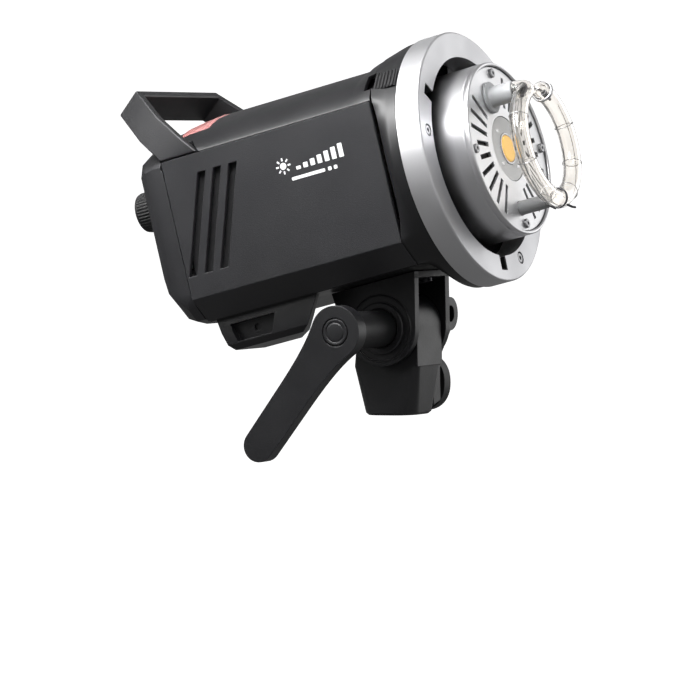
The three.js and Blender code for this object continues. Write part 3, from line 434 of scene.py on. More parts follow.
def carve(bm, cutters, merge_flat=True, operation="DIFFERENCE"):
    """Cuts closed meshes out of a closed mesh, or joins them to it, with an exact boolean."""
    def to_object(b, label):
        bmesh.ops.recalc_face_normals(b, faces=b.faces)
        mesh = bpy.data.meshes.new(label)
        b.to_mesh(mesh)
        b.free()
        o = bpy.data.objects.new(label, mesh)
        scene.collection.objects.link(o)
        return o
    blank = to_object(bm, "blank")
    tools = [to_object(c, "cutter") for c in cutters]
    for t in tools:
        mod = blank.modifiers.new("cut", "BOOLEAN")
        mod.operation, mod.object, mod.solver = operation, t, "EXACT"
    evaluated = blank.evaluated_get(bpy.context.evaluated_depsgraph_get())
    out = bmesh.new()
    out.from_mesh(evaluated.to_mesh())
    for o in (blank, *tools):
        bpy.data.objects.remove(o)
    bmesh.ops.remove_doubles(out, verts=out.verts, dist=0.005)
    if merge_flat:
        bmesh.ops.dissolve_limit(out, angle_limit=math.radians(0.5), verts=out.verts, edges=out.edges)
    return out


def weld(bm, other):
    """Two closed meshes joined into one with an exact boolean."""
    return carve(bm, [other], operation="UNION")


def tube(bm, path, radius, sides=16, hollow=0.0, domed=False):
    """A round tube along points, with a steady frame; hollow adds an inner wall of that radius.

    A domed tube's far end closes in a half ball instead of a flat face.
    """
    points = [Vector(p) for p in path]
    count = len(points)
    tangents = []
    for k in range(count):
        a, b = points[max(k - 1, 0)], points[min(k + 1, count - 1)]
        tangents.append((b - a).normalized())
    side = tangents[0].orthogonal().normalized()
    walls = [radius] + ([hollow] if hollow else [])
    rows = [[] for _ in walls]
    past_end = [0.0] * count
    if domed:
        steps = [radius * math.sin(math.radians(a)) for a in (12, 24, 36, 48, 60, 72, 84)]
        points += [points[-1] + tangents[-1] * step for step in steps]
        tangents += [tangents[-1]] * len(steps)
        past_end += steps
    turns = circle(1.0, sides)
    for p, t, gone in zip(points, tangents, past_end):
        side = (side - t * side.dot(t)).normalized()
        other = t.cross(side)
        for w, wall in enumerate(walls):
            inside = min(gone, wall * 0.98)
            r = math.sqrt(wall ** 2 - inside ** 2)
            middle = p - t * (gone - inside)
            rows[w].append([bm.verts.new(middle + side * (r * c) + other * (r * s)) for c, s in turns])
    for w, ring in enumerate(rows):
        for a, b in zip(ring, ring[1:]):
            for k in range(sides):
                n = (k + 1) % sides
                bm.faces.new((a[k], a[n], b[n], b[k]) if w == 0 else (a[k], b[k], b[n], a[n]))
    for end in (0, -1):
        if domed and end:
            for ring in rows:
                bm.faces.new(ring[end])
        elif hollow:
            for k in range(sides):
                n = (k + 1) % sides
                bm.faces.new((rows[0][end][k], rows[0][end][n], rows[1][end][n], rows[1][end][k]))
        else:
            bm.faces.new(rows[0][end])
    return bm


# ------------------------------------------------------------------ lamp end
RING_BORE = 49.75
NOTCHES = (143.5, 266.5, 23.5)
NOTCH_REACH = 57.0
NOTCH_HALF = 3.25
RING_SCREW_ANGLES = (166, 289, 46)
RING_SCREW_RADIUS = 54.2


def bayonet_ring():
    stops = []
    for deg in range(0, 360, 2):
        if all(abs((deg - n + 180) % 360 - 180) > 5 for n in NOTCHES):
            stops.append((deg, RING_BORE))
    at_bore = math.degrees(math.asin(NOTCH_HALF / RING_BORE))
    at_reach = math.degrees(math.asin(NOTCH_HALF / NOTCH_REACH))
    for n in NOTCHES:
        stops += [(n - at_bore - 0.001, RING_BORE), (n - at_reach, NOTCH_REACH), (n, NOTCH_REACH),
                  (n + at_reach, NOTCH_REACH), (n + at_bore + 0.001, RING_BORE)]
    stops.sort(key=lambda s: s[0] % 360)
    bm = bmesh.new()
    loops = {}
    for label, pick in (("front_in", (None, 0.0)), ("front_out", (RING_OUTER, 0.0)),
                        ("back_in", (None, RING_DEPTH)), ("back_out", (RING_OUTER, RING_DEPTH))):
        loops[label] = []
        for deg, r in stops:
            x, z = polar(pick[0] or r, deg)
            loops[label].append(bm.verts.new((x, pick[1], z)))
    count = len(stops)
    for k in range(count):
        n = (k + 1) % count
        for a, b in (("front_in", "front_out"), ("front_out", "back_out"), ("back_out", "back_in"),
                     ("back_in", "front_in")):
            bm.faces.new((loops[a][k], loops[a][n], loops[b][n], loops[b][k]))
    cutters = []
    for deg in RING_SCREW_ANGLES:
        x, z = polar(RING_SCREW_RADIUS, deg)
        hole = bmesh.new()
        revolve(hole, [(0, -1), (3.1, -1), (3.1, 2.2), (2.0, 2.2), (2.0, 13.5), (0, 13.5)], 40, (x, z))
        cutters.append(hole)
    bm = carve(bm, cutters)

    def on_front_rim(v):
        return abs(v.co.y) < 1e-3 and math.hypot(v.co.x, v.co.z) > RING_OUTER - 0.1

    front_out = [e for e in bm.edges if all(on_front_rim(v) for v in e.verts)]
    bmesh.ops.bevel(bm, geom=front_out, offset=1.1, segments=4, profile=0.5, affect="EDGES",
                    clamp_overlap=False)
    bevel_rim(bm, 0.35, 2, 50.0)
    piece("bayonet_ring_turned", bm, SATIN, "head", ["bayonet_ring"])


def socket_screw(name, x, z, low, high, radius, material, socket=1.2):
    """A fixing screw's head with a hex socket, and its shank."""
    bm = bmesh.new()
    revolve(bm, [(0, high), (1.6, high), (1.6, low + 1.6), (radius - 0.3, low + 1.6), (radius, low + 1.3),
                 (radius, low + 0.35), (radius - 0.35, low), (0, low)], 36, (x, z))
    tool = bmesh.new()
    prism(tool, circle(socket, 6, (x, z)), low - 1, low + 0.9)
    bm = carve(bm, [tool])
    piece(name + "_cut", bm, material, "head", [name])


def notch_shade_linings():
    """Painted shade: a thin black lining in each notch of the ring, standing in for the shade inside the
    notches.
    """
    wall = 0.55
    for number, deg in enumerate(NOTCHES):
        half, reach, bore = NOTCH_HALF - 0.04, NOTCH_REACH - 0.15, RING_BORE + 0.4
        shape = [(bore, -half), (reach, -half), (reach, half), (bore, half), (bore, half - wall),
                 (reach - wall, half - wall), (reach - wall, wall - half), (bore, wall - half)]
        bm = bmesh.new()
        prism(bm, turned(shape, deg), 0.5, 12.2)
        round_edges(bm, 0.12, 50, 2)
        piece(f"notch_shade_lining_{number + 1}", bm, LINER, "head")


def lamp_housing():
    """The drum: a spun cup with a beaded lip, a shallow groove behind it and a rounded shoulder."""
    outer, front, back, wall = 43.0, -16.0, 27.0, 1.6
    inner = outer - wall
    profile = [(8.0, back), (outer - 2, back), *arc(outer - 2, back - 2, 2, 90, 0, 4)[1:],
               (outer, front + 4.2), (outer - 0.35, front + 3.7), (outer - 0.35, front + 3.0),
               (outer, front + 2.5), (outer, front + 1.2),
               *arc(outer - 0.9, front + 0.9, 0.9, 0, -180, 8)[1:],
               (inner + 0.2, front + 1.4), (inner + 0.2, -12.6), (inner - 1.2, -12.3),
               (inner - 1.2, back - wall), (8.0, back - wall), (8.0, back)]
    bm = bmesh.new()
    revolve(bm, profile, 144)
    bmesh.ops.remove_doubles(bm, verts=bm.verts, dist=0.001)
    piece("lamp_drum", bm, DRUM, "head", ["lamp_housing"], angle=45)


PLATE_RADIUS = 41.0
PLATE_FRONT = -14.6
PLATE_THICK = 1.5
SLOT_COUNT = 28
SLOT_HALF = 1.2
POST_PLACES = {"upper": (-7.5, 25.2, 5.0), "lower": (-1.3, -29.8, 3.5)}
PLATE_SCREWS = (0, 90, 180, 270)
PLATE_SCREW_RADIUS = 37.5


def plate_slots():
    """Angle and outer reach of every radial air slot; the posts and screws interrupt the pattern."""
    for k in range(SLOT_COUNT):
        deg = 7.2 + k * 360 / SLOT_COUNT
        if 78 < deg < 127 or 250 < deg < 290:
            continue
        beside_screw = min(deg, abs(deg - 180), 360 - deg) < 9
        yield deg, 33.4 if beside_screw else 37.4


def face_plate():
    bm = bmesh.new()
    revolve(bm, [(0, PLATE_FRONT + PLATE_THICK), (PLATE_RADIUS, PLATE_FRONT + PLATE_THICK),
                 (PLATE_RADIUS, PLATE_FRONT + 0.3), (PLATE_RADIUS - 0.3, PLATE_FRONT), (0, PLATE_FRONT)], 144)
    middle, rest = bmesh.new(), bmesh.new()
    revolve(middle, [(0, -17), (16.3, -17), (16.3, -11), (0, -11)], 96)
    for x, z, r in POST_PLACES.values():
        revolve(rest, [(0, -17), (r + 0.3, -17), (r + 0.3, -11), (0, -11)], 40, (x, z))
    for deg in PLATE_SCREWS:
        revolve(rest, [(0, -17), (1.9, -17), (1.9, -11), (0, -11)], 24, polar(PLATE_SCREW_RADIUS, deg))
    for deg, reach in plate_slots():
        prism(rest, turned_box(21.2, reach, SLOT_HALF, deg), -17, -11)
    bm = carve(bm, [middle, rest])
    # Painted shade: a black disc just behind the plate, so that its slots read as dark shade.
    dark = bmesh.new()
    revolve(dark, [(17.0, -12.9), (40.4, -12.9), (40.4, -12.6), (17.0, -12.6), (17.0, -12.9)], 96)
    bmesh.ops.remove_doubles(dark, verts=dark.verts, dist=0.001)
    piece("plate_slot_shade_disc", dark, LINER, "head")
    piece("face_plate_cut", bm, PLATE, "head", ["face_plate"])


def led_lamp():
    """The modelling lamp: a white board with pads and a trim ring, and the phosphor disc in its dam."""
    bm = bmesh.new()
    revolve(bm, [(0, -12.8), (16, -12.8), (16, -14.3), (15.9, -14.4), (0, -14.4)], 96)
    piece("led_board_disc", bm, CERAMIC, "head", ["led_board"])
    bm = bmesh.new()
    revolve(bm, [(0, -14.45), (6.5, -14.45), (6.5, -14.95), *arc(6.1, -14.95, 0.3, 0, -90, 4)[1:],
                 (5.6, -15.3), (0, -15.4)], 72)
    piece("led_phosphor", bm, PHOSPHOR, "head", ["led_chip"])
    bm = bmesh.new()
    revolve(bm, [(6.8, -14.42), (8.0, -14.42), (8.0, -14.75), (7.7, -14.95), (7.1, -14.95), (6.8, -14.75),
                 (6.8, -14.42)], 72)
    bmesh.ops.remove_doubles(bm, verts=bm.verts, dist=0.001)
    for deg in (40, 130, 220, 310):
        x, z = polar(11.6, deg)
        prism(bm, rectangle(x - 1.3, x + 1.3, z - 0.8, z + 0.8, 0.3), -14.55, -14.38)
    piece("led_pads", bm, STEEL, "head")


def posts():
    x, z, r = POST_PLACES["upper"]
    bm = bmesh.new()
    revolve(bm, [(0, -8), (r, -8), (r, -14.9), (7.6, -14.9), (7.8, -15.1), (7.8, -16.0), (7.4, -16.4),
                 (r + 0.5, -16.4), (r + 0.1, -16.8), (r, -17.3), (r, -27.6), (r - 0.3, -28.2),
                 (r - 0.9, -28.4), (0, -28.4)], 64, (x, z))
    piece("upper_post_turned", bm, POST_GREY, "head", ["tube_post_upper"], angle=40)
    x, z, r = POST_PLACES["lower"]
    bm = bmesh.new()
    revolve(bm, [(0, -8), (r, -8), (r, -15.2), (r, -28.6), (r - 0.3, -29.3), (r - 1.0, -29.6), (0, -29.6)],
            48, (x, z))
    piece("lower_post_turned", bm, POST_DARK, "head", ["tube_post_lower"], angle=40)


TUBE_RADIUS = 27.5
TUBE_THICK = 4.5
TUBE_DEPTH = -34.7
TUBE_DROP = -2.3
TUBE_FROM = 99.0
TUBE_SWEEP = 332.0


def tube_centre(fraction, out=0.0):
    x, z = polar(TUBE_RADIUS + out, TUBE_FROM + TUBE_SWEEP * fraction)
    return Vector((x, TUBE_DEPTH, z + TUBE_DROP))


def bezier(a, b, c, d, steps):
    for k in range(steps):
        t = k / steps
        yield a * (1 - t) ** 3 + b * 3 * t * (1 - t) ** 2 + c * 3 * t * t * (1 - t) + d * t ** 3


def flash_tube():
    x, z = POST_PLACES["upper"][:2]
    start = Vector((x, -28.8, z))
    join = tube_centre(0.04)
    along = (tube_centre(0.05) - tube_centre(0.04)).normalized()
    path = list(bezier(start, start + Vector((0, -4.5, 0)), join - along * 3.0, join, 8))
    path += [tube_centre(0.04 + 0.96 * k / 88) for k in range(89)]
    bm = bmesh.new()
    tube(bm, path, TUBE_THICK, 28, hollow=TUBE_THICK - 1.05, domed=True)
    piece("flash_tube_glass", bm, GLASS, "head", ["flash_tube"], angle=60)
    bm = bmesh.new()
    for low, high, radius in ((0.962, 0.985, 1.7), (0.945, 0.962, 0.7), (0.985, 1.018, 0.6)):
        tube(bm, [tube_centre(low + (high - low) * k / 6) for k in range(7)], radius, 16)
    tube(bm, path[1:5], 2.7, 16)
    tube(bm, path[4:12], 1.0, 12)
    piece("tube_electrodes", bm, DARK_STEEL, "head")


def band_round_tube(bm, fraction, wire=0.22, turns=1.0, lead=0.0):
    """A thin trigger wire wound once round the tube's glass at a place along it."""
    centre = tube_centre(fraction)
    outward = (tube_centre(fraction, out=1) - centre).normalized()
    forward = Vector((0, -1, 0))
    along = (tube_centre(fraction + 0.01) - centre).normalized()
    reach = TUBE_THICK + wire * 0.9
    steps = int(22 * turns)
    points = []
    for k in range(steps + 1):
        a = math.tau * k / 22
        points.append(centre + outward * (reach * math.cos(a)) + forward * (reach * math.sin(a))
                      + along * (lead * k / 22))
    tube(bm, points, wire, 8)


def trigger_wires():
    """The trigger wire: hoops round the glass joined by a run along the tube's outer side."""
    bm = bmesh.new()
    for fraction in (0.16, 0.30, 0.44, 0.60, 0.72, 0.84):
        band_round_tube(bm, fraction)
    run = [tube_centre(0.1 + 0.8 * k / 70, out=TUBE_THICK + 0.35) for k in range(71)]
    tube(bm, run, 0.3, 8)
    piece("trigger_wire", bm, STEEL, "head")
    bm = bmesh.new()
    band_round_tube(bm, 0.505, wire=0.35, turns=2.0, lead=0.9)
    low = tube_centre(0.505)
    x, z = POST_PLACES["lower"][:2]
    to_post = [low + Vector((0, 2.0, -4.6)), low + Vector((0, 4.4, -2.8)), Vector((x, -29.0, z + 0.6))]
    tube(bm, to_post, 0.7, 12)
    lead = ((2, -3.4, -4.2), (4.5, -4.6, -5.6), (7.5, -4.8, -5.9))
    tube(bm, [low + Vector(step) for step in lead], 0.6, 10)
    piece("tube_clip_lower", bm, DARK_STEEL, "head")
    bm = bmesh.new()
    band_round_tube(bm, 0.985, wire=0.5, turns=2.0, lead=1.0)
    end = tube_centre(0.995)
    x, z = POST_PLACES["upper"][:2]
    tube(bm, [end, end + Vector((-3.5, 0.5, 1.2)), end + Vector((-8, 2.5, 1.5)),
              Vector((x + 3.2, -28.6, z + 1.5))], 0.7, 10)
    piece("tube_clip_upper", bm, STEEL, "head")


bayonet_ring()
for i, deg in enumerate(RING_SCREW_ANGLES):
    socket_screw(f"ring_screw_{i + 1}", *polar(RING_SCREW_RADIUS, deg), 0.2, 20.0, 2.6, SCREW)
for i, deg in enumerate(PLATE_SCREWS):
    socket_screw(f"face_screw_{i + 1}", *polar(PLATE_SCREW_RADIUS, deg), -16.1, -9.0, 2.3, SCREW, 1.0)
notch_shade_linings()
lamp_housing()
face_plate()
led_lamp()
posts()
flash_tube()
trigger_wires()
refined("ring_leaf_1", STEEL, 0.1)
refined("ring_leaf_2", STEEL, 0.1)
refined("lock_tongue", STEEL, 0.15)
refined("release_slider", RUBBER, 0.25)

# ------------------------------------------------------------------ shells
HALF_WIDTH = 55.0
SHOULDER = 33.8
KEEL_HALF = 43.8
FLOOR = -46.8
CHAMFER = -35.5
PANEL_FRONT = 26.3
COLLAR_RAYS = 240
COLLAR_RADIUS = 61.6
COLLAR_FRONT = 12.8
COLLAR_ROUND = 17.5
COLLAR_BACK = 25.9
COLLAR_CROWN = 24.9
SLIDER_ANGLE = 136.0
SLIDER_FLOOR = 55.8
SLIDER_HALF = 5.9
SLIDER_FRONT = 13.6
SLIDER_BACK = 30.0
CROWN_POWER = 2.4
CROWN_ROUND = 0.769
CROWN_STEPS = 72
COVER_HALF = 53.8
COVER_BASE = SHOULDER + 0.4
COVER_STOPS = ((118.0, 19.5), (132.0, 18.2), (143.8, 16.4))


def body_outline(inset, crown_height):
    """The body's section as (x, height) points: a keel, two sides and a rounded top."""
    half = HALF_WIDTH - inset
    points = [(-KEEL_HALF + inset, FLOOR + inset), (KEEL_HALF - inset, FLOOR + inset),
              (half, CHAMFER + inset * 0.4)]
    for k in range(CROWN_STEPS + 1):
        x = half * math.cos(math.pi * k / CROWN_STEPS)
        rise = max(0.0, 1 - (abs(x) / half) ** CROWN_POWER) ** CROWN_ROUND
        points.append((x, SHOULDER + (crown_height - inset) * rise))
    points.append((-half, CHAMFER + inset * 0.4))
    return points


def ray_angles(outline):
    """Even angles round the axis, some moved a little so that a ray meets every sharp corner."""
    angles = [math.tau * k / COLLAR_RAYS for k in range(COLLAR_RAYS)]
    for x, z in (*outline[:3], outline[-1]):
        corner = math.atan2(z, x) % math.tau
        angles[round(corner / math.tau * COLLAR_RAYS) % COLLAR_RAYS] = corner
    return angles


def ray_section(outline, angles):
    ring = []
    for angle in angles:
        c, s = math.cos(angle), math.sin(angle)
        far = 0.0
        for (x0, z0), (x1, z1) in zip(outline, outline[1:] + outline[:1]):
            across = c * (z1 - z0) - s * (x1 - x0)
            if abs(across) < 1e-9:
                continue
            reach = (x0 * (z1 - z0) - z0 * (x1 - x0)) / across
            along = (x0 * s - z0 * c) / across
            if reach > 0 and -1e-6 <= along <= 1 + 1e-6:
                far = max(far, reach)
        ring.append((c * far, s * far))
    return ring


def crescent(bm, side):
    """The dark crescent hollowed from the collar's rear edge at one side."""
    low, middle, high, deep = -33.4, -6.0, 44.0, 3.8
    outline = [(PANEL_FRONT + 1, high), (PANEL_FRONT + 1, low)]
    for k in range(33):
        z = low + (high - low) * k / 32
        reach = high - middle if z > middle else middle - low
        outline.append((PANEL_FRONT - deep * (1 - ((z - middle) / reach) ** 2), z))
    prism(bm, outline, *sorted((side * 46.0, side * 62.0)), axis="X")


def front_collar():
    """The collar between the round ring and the body, swelling smoothly from one to the other."""
    outline = body_outline(0.4, COLLAR_CROWN)
    angles = ray_angles(outline)
    body = ray_section(outline, angles)
    round_end = [(COLLAR_RADIUS * math.cos(a), COLLAR_RADIUS * math.sin(a)) for a in angles]
    rings = [(COLLAR_FRONT, 0.0, 0.985), (COLLAR_FRONT + 0.25, 0.0, 0.994), (COLLAR_FRONT + 0.9, 0.0, 1.0),
             (COLLAR_ROUND, 0.0, 1.0)]
    for k in range(1, 13):
        rings.append((COLLAR_ROUND + (COLLAR_BACK - COLLAR_ROUND) * k / 12, (k / 12) ** 1.5, 1.0))
    bm = bmesh.new()
    rows = []
    for depth, blend, scale in rings:
        rows.append([bm.verts.new(((u + (p - u) * blend) * scale, depth, (v + (q - v) * blend) * scale))
                     for (u, v), (p, q) in zip(round_end, body)])
    for a, b in zip(rows, rows[1:]):
        for k in range(COLLAR_RAYS):
            n = (k + 1) % COLLAR_RAYS
            bm.faces.new((a[k], a[n], b[n], b[k]))
    bm.faces.new(rows[0])
    bm.faces.new(rows[-1])
    cutters = []
    throat = bmesh.new()
    revolve(throat, [(0, 11), (58, 11), (58, 13.7), (52, 13.7), (52, 19), (44.8, 19), (44.8, 28), (0, 28)],
            144)
    cutters.append(throat)
    slot = bmesh.new()
    prism(slot, turned_box(SLIDER_FLOOR, 70, SLIDER_HALF, SLIDER_ANGLE), SLIDER_FRONT, SLIDER_BACK)
    cutters.append(slot)
    for side in (-1, 1):
        hollow = bmesh.new()
        crescent(hollow, side)
        cutters.append(hollow)
    holes = bmesh.new()
    for deg in RING_SCREW_ANGLES:
        revolve(holes, [(0, 12), (2, 12), (2, 22), (0, 22)], 24, polar(RING_SCREW_RADIUS, deg))
    cutters.append(holes)
    bm = carve(bm, cutters, merge_flat=False)
    piece("front_collar_shell", bm, PLASTIC, "head", ["front_collar"], angle=40)


def slider_bed():
    """The dark floor of the slot that the release slider runs in."""
    bm = bmesh.new()
    floor = turned_box(SLIDER_FLOOR + 0.1, SLIDER_FLOOR + 0.5, SLIDER_HALF - 0.1, SLIDER_ANGLE)
    prism(bm, floor, SLIDER_FRONT + 0.2, SLIDER_BACK - 0.1)
    round_edges(bm, 0.1, 50, 2)
    piece("slider_bed", bm, LINER, "head")


def cover_height(x, depth):
    """The top cover's surface at a place across it and along it, over the rear half."""
    tall = COVER_STOPS[0][1]
    for (a, u), (b, v) in zip(COVER_STOPS, COVER_STOPS[1:]):
        if depth > a:
            tall = u + (v - u) * (depth - a) / (b - a)
    return COVER_BASE + tall * max(0.0, 1 - (abs(x) / COVER_HALF) ** CROWN_POWER) ** CROWN_ROUND


def sensor_lens():
    """The translucent sensor window, a thin band that lies over the cover between the handle's feet."""
    half, front, rear = 39.0, 121.5, 139.5
    across, along = 52, 12
    bm = bmesh.new()
    layers = []
    for low in (True, False):
        grid = []
        for j in range(along + 1):
            depth = front + (rear - front) * j / along
            row = []
            for i in range(across + 1):
                x = -half + 2 * half * i / across
                inside = min(i, across - i, j * 2, (along - j) * 2) / 2
                lift = -0.8 if low else 0.1 + 0.55 * min(1.0, inside) ** 0.5
                row.append(bm.verts.new((x, depth, cover_height(x, depth) + lift)))
            grid.append(row)
        layers.append(grid)
    for grid in layers:
        for a, b in zip(grid, grid[1:]):
            for k in range(across):
                bm.faces.new((a[k], a[k + 1], b[k + 1], b[k]))
    low, high = layers
    rim = [[g[0][k] for k in range(across + 1)] + [g[j][across] for j in range(1, along + 1)]
           + [g[along][k] for k in range(across - 1, -1, -1)] + [g[j][0] for j in range(along - 1, 0, -1)]
           for g in (low, high)]
    for k in range(len(rim[0])):
        n = (k + 1) % len(rim[0])
        bm.faces.new((rim[0][k], rim[0][n], rim[1][n], rim[1][k]))
    piece("sensor_window_curved", bm, LENS, "head", ["sensor_lens"], angle=50)


def vent_shade_sheet():
    """Painted shade: a thin black sheet behind the near panel's vents, so that they read as dark shade."""
    bm = bmesh.new()
    prism(bm, rectangle(93.0, 140.0, -28.0, 28.0, 2.0), -51.9, -51.5, axis="X")
    piece("vent_shade_sheet", bm, LINER, "head")


def printed_mark():
    """A generic printed mark on the near panel: a lamp with rays, a row of level bars and a short rule."""
    low, high = -HALF_WIDTH - 0.03, -HALF_WIDTH + 0.15
    bm = bmesh.new()

    def stamp(outline):
        prism(bm, outline, low, high, axis="X")

    def strip(d0, d1, h0, h1, corner):
        stamp(rectangle(d0, d1, h0, h1, corner, 4))

    sun = (78.6, 15.4)
    stamp(circle(1.7, 24, sun))
    for deg in range(0, 360, 45):
        stamp(turned(((2.5, -0.4), (4.0, -0.4), (4.0, 0.4), (2.5, 0.4)), deg, sun))
    for k in range(7):
        start = 69.4 - k * 4.0
        strip(start, start + 2.5, 12.0, 13.6 + k * 0.85, 0.3)
    strip(57.0, 75.5, 7.4, 9.0, 0.5)
    for d in (50.2, 53.4):
        strip(d, d + 1.9, 7.25, 9.15, 0.6)
    piece("panel_print", bm, INK, "head", angle=20)


front_collar()
slider_bed()
vent_shade_sheet()
printed_mark()
refined("side_panel_near", PANEL, 0.35)
refined("side_panel_far", PANEL, 0.35)
refined("top_cover", PLASTIC, 0.4)
refined("bottom_cover", PLASTIC, 0.5)
refined("rear_cap", CAP, 0.4)
refined("carry_handle", HANDLE, 0.9)
sensor_lens()

# ------------------------------------------------------------------ rear controls
DIAL_PLACE = (-30.0, 15.2)
DIAL_RADIUS = 10.4
DIAL_BACK = 172.8


def dial_knob():
    """The setting dial: a ribbed grip with a plain band at its foot and a dished top."""
    x, z = DIAL_PLACE
    r, top = DIAL_RADIUS, DIAL_BACK
    bm = bmesh.new()
    revolve(bm, [(0, 159.7), (r - 0.2, 159.7), (r - 0.05, 159.9), (r - 0.05, 161.4), (r - 0.6, 161.8),
                 (r - 0.6, top - 1.6), *arc(r - 1.8, top - 1.2, 1.2, 0, 90, 6), (r - 3.2, top),
                 (r - 4.0, top - 0.35), (0, top - 0.7)], 120, (x, z))
    bore = bmesh.new()
    revolve(bore, [(0, 158), (3.3, 158), (3.3, 161.4), (0, 161.4)], 40, (x, z))
    bm = carve(bm, [bore])
    for k in range(40):
        rib = [(r - 0.9, -0.42), (r - 0.3, -0.2), (r - 0.3, 0.2), (r - 0.9, 0.42)]
        prism(bm, turned(rib, 9 * k, (x, z)), 162.2, top - 1.7)
    piece("dial_knob_ribbed", bm, RUBBER, "dial", ["dial_knob"], angle=35)


refined("control_panel", PLASTIC, 0.25)
refined("screen_window", SCREEN, 0.2)
for number in range(1, 5):
    refined(f"menu_button_{number}", RUBBER, 0.5)
refined("test_button", RUBBER, 0.5)
dial_knob()
refined("power_inlet", PLASTIC, 0.3)
refined("rocker_switch", RUBBER, 0.3)
refined("sync_jack", BRASS, 0.15)

# ------------------------------------------------------------------ tilt and clamp
LEVER_NEAR = -69.0
LEVER_FAR = -61.0
LEVER_HUB = 12.75
LEVER_TIP = 8.0
LEVER_BACK = 42.6
LEVER_DOWN = 54.8


def lever_outline():
    """The lever's outline, drawn along its own length with the hub at the origin."""
    leave = math.radians(72)
    reach = math.hypot(LEVER_BACK, LEVER_DOWN)
    start = Vector((LEVER_HUB * math.cos(leave), LEVER_HUB * math.sin(leave), 0))
    end = Vector((LEVER_HUB + 24, LEVER_TIP + 0.4, 0))
    flare = list(bezier(start, Vector((13.5, 9.4, 0)), Vector((24, LEVER_TIP + 0.7, 0)), end, 14)) + [end]
    upper = [(p.x, p.y) for p in flare]
    hub = [(LEVER_HUB * math.cos(a), LEVER_HUB * math.sin(a))
           for a in (leave + (math.tau - 2 * leave) * k / 56 for k in range(1, 56))]
    lower = [(x, -y) for x, y in upper]
    tip = [(reach + LEVER_TIP * math.cos(a), LEVER_TIP * math.sin(a))
           for a in (-math.pi / 2 + math.pi * k / 28 for k in range(29))]
    return hub + lower + tip + upper[::-1]


def tilt_lever():
    turn = math.degrees(math.atan2(-LEVER_DOWN, LEVER_BACK))
    bm = bmesh.new()
    prism(bm, turned(lever_outline(), turn), LEVER_NEAR, LEVER_FAR, axis="X")
    bevel_rim(bm, 1.6, 5)
    back = bmesh.new()
    revolve(back, [(0, -62.5), (10.4, -62.5), (10.4, -58.6), (10.0, -58.2), (0, -58.2)], 96, axis="X")
    bore = bmesh.new()
    revolve(bore, [(0, -75), (6.95, -75), (6.95, -67.2), (6.0, -67.2), (6.0, -57), (0, -57)], 96, axis="X")
    bm = weld(bm, back)
    bm = carve(bm, [bore])
    piece("tilt_lever_moulded", bm, LEVER, "tilt_lever", ["tilt_lever"], AT_PIVOT, 40)
    bm = bmesh.new()
    revolve(bm, [(0, -67.5), (6.5, -67.5), (6.5, -68.6), (6.2, -69.0), (5.2, -69.0), (4.9, -68.7),
                 (4.5, -68.7), (4.2, -69.0), (3.6, -69.15), (0, -69.2)], 96, axis="X")
    piece("lever_cap_turned", bm, LEVER, "tilt_lever", ["lever_cap"], AT_PIVOT, 30)


def cheek_bosses():
    """The raised rings on the yoke's near cheek that the lever's sleeve passes through."""
    bm = bmesh.new()
    for inner, outer, low in ((9.5, 12.7, -21.4), (15.6, 16.6, -20.0)):
        revolve(bm, [(inner, -19.4), (outer, -19.4), (outer, low + 0.5), (outer - 0.5, low),
                     (inner + 0.4, low), (inner, low + 0.4), (inner, -19.4)], 96, axis="X")
    bmesh.ops.remove_doubles(bm, verts=bm.verts, dist=0.001)
    piece("cheek_boss", bm, CAST, "head", (), AT_PIVOT, 40)


KNOB_POWER = 2.25


def squared(half_wide, half_tall, steps):
    """A rounded square outline, between an ellipse and a box."""
    def bulge(c):
        return math.copysign(abs(c) ** (2 / KNOB_POWER), c)
    angles = [math.tau * k / steps for k in range(steps)]
    return [(half_wide * bulge(math.cos(a)), half_tall * bulge(math.sin(a))) for a in angles]


def clamp_knob():
    height, inner, outer = 14.4, 26.4, 33.4
    bm = bmesh.new()
    prism(bm, [(u, v + height) for u, v in squared(14.2, 14.3, 168)], inner, outer, axis="X")
    bevel_rim(bm, 1.3, 4)
    neck = bmesh.new()
    revolve(neck, [(0, inner - 3), (6.2, inner - 3), (6.6, inner - 2.6), (6.6, inner + 1), (0, inner + 1)],
            72, (0, height), "X")
    bm = weld(bm, neck)
    hollows = bmesh.new()
    revolve(hollows, [(0, outer - 1), (9.1, outer - 1), (9.5, outer - 0.6), (9.5, outer + 1), (0, outer + 1)],
            72, (0, height), "X")
    revolve(hollows, [(0, inner - 4), (3.9, inner - 4), (3.9, inner + 4.6), (0, inner + 4.6)],
            48, (0, height), "X")
    bm = carve(bm, [hollows])
    piece("clamp_knob_moulded", bm, RUBBER, "clamp_knob", ["clamp_knob"], AT_ROW, 40)


tilt_lever()
cheek_bosses()
clamp_knob()
refined("stand_bracket", CAST, 0.5)
refined("tilt_yoke", CAST, 0.5)
refined("lever_sleeve", RUBBER, 0.3)
refined("tilt_bolt", DARK_STEEL, 0.3)
refined("clamp_pad", BRASS, 0.2)

# ------------------------------------------------------------------ pieces that keep their own shape
KEPT = {
    "friction_disc_near": STEEL, "friction_disc_far": STEEL, "yoke_screw_1": DARK_STEEL,
    "yoke_screw_2": DARK_STEEL, "clamp_screw": STEEL, "bulkhead": STEEL, "display_board": BOARD,
    "main_board": BOARD, "dial_shaft": STEEL, "flash_capacitor_1": SLEEVE, "flash_capacitor_2": SLEEVE,
    "charging_transformer": WINDING, "fan_frame": LINER, "fan_rotor": LINER,
}
for name, material in KEPT.items():
    paint(name, material)


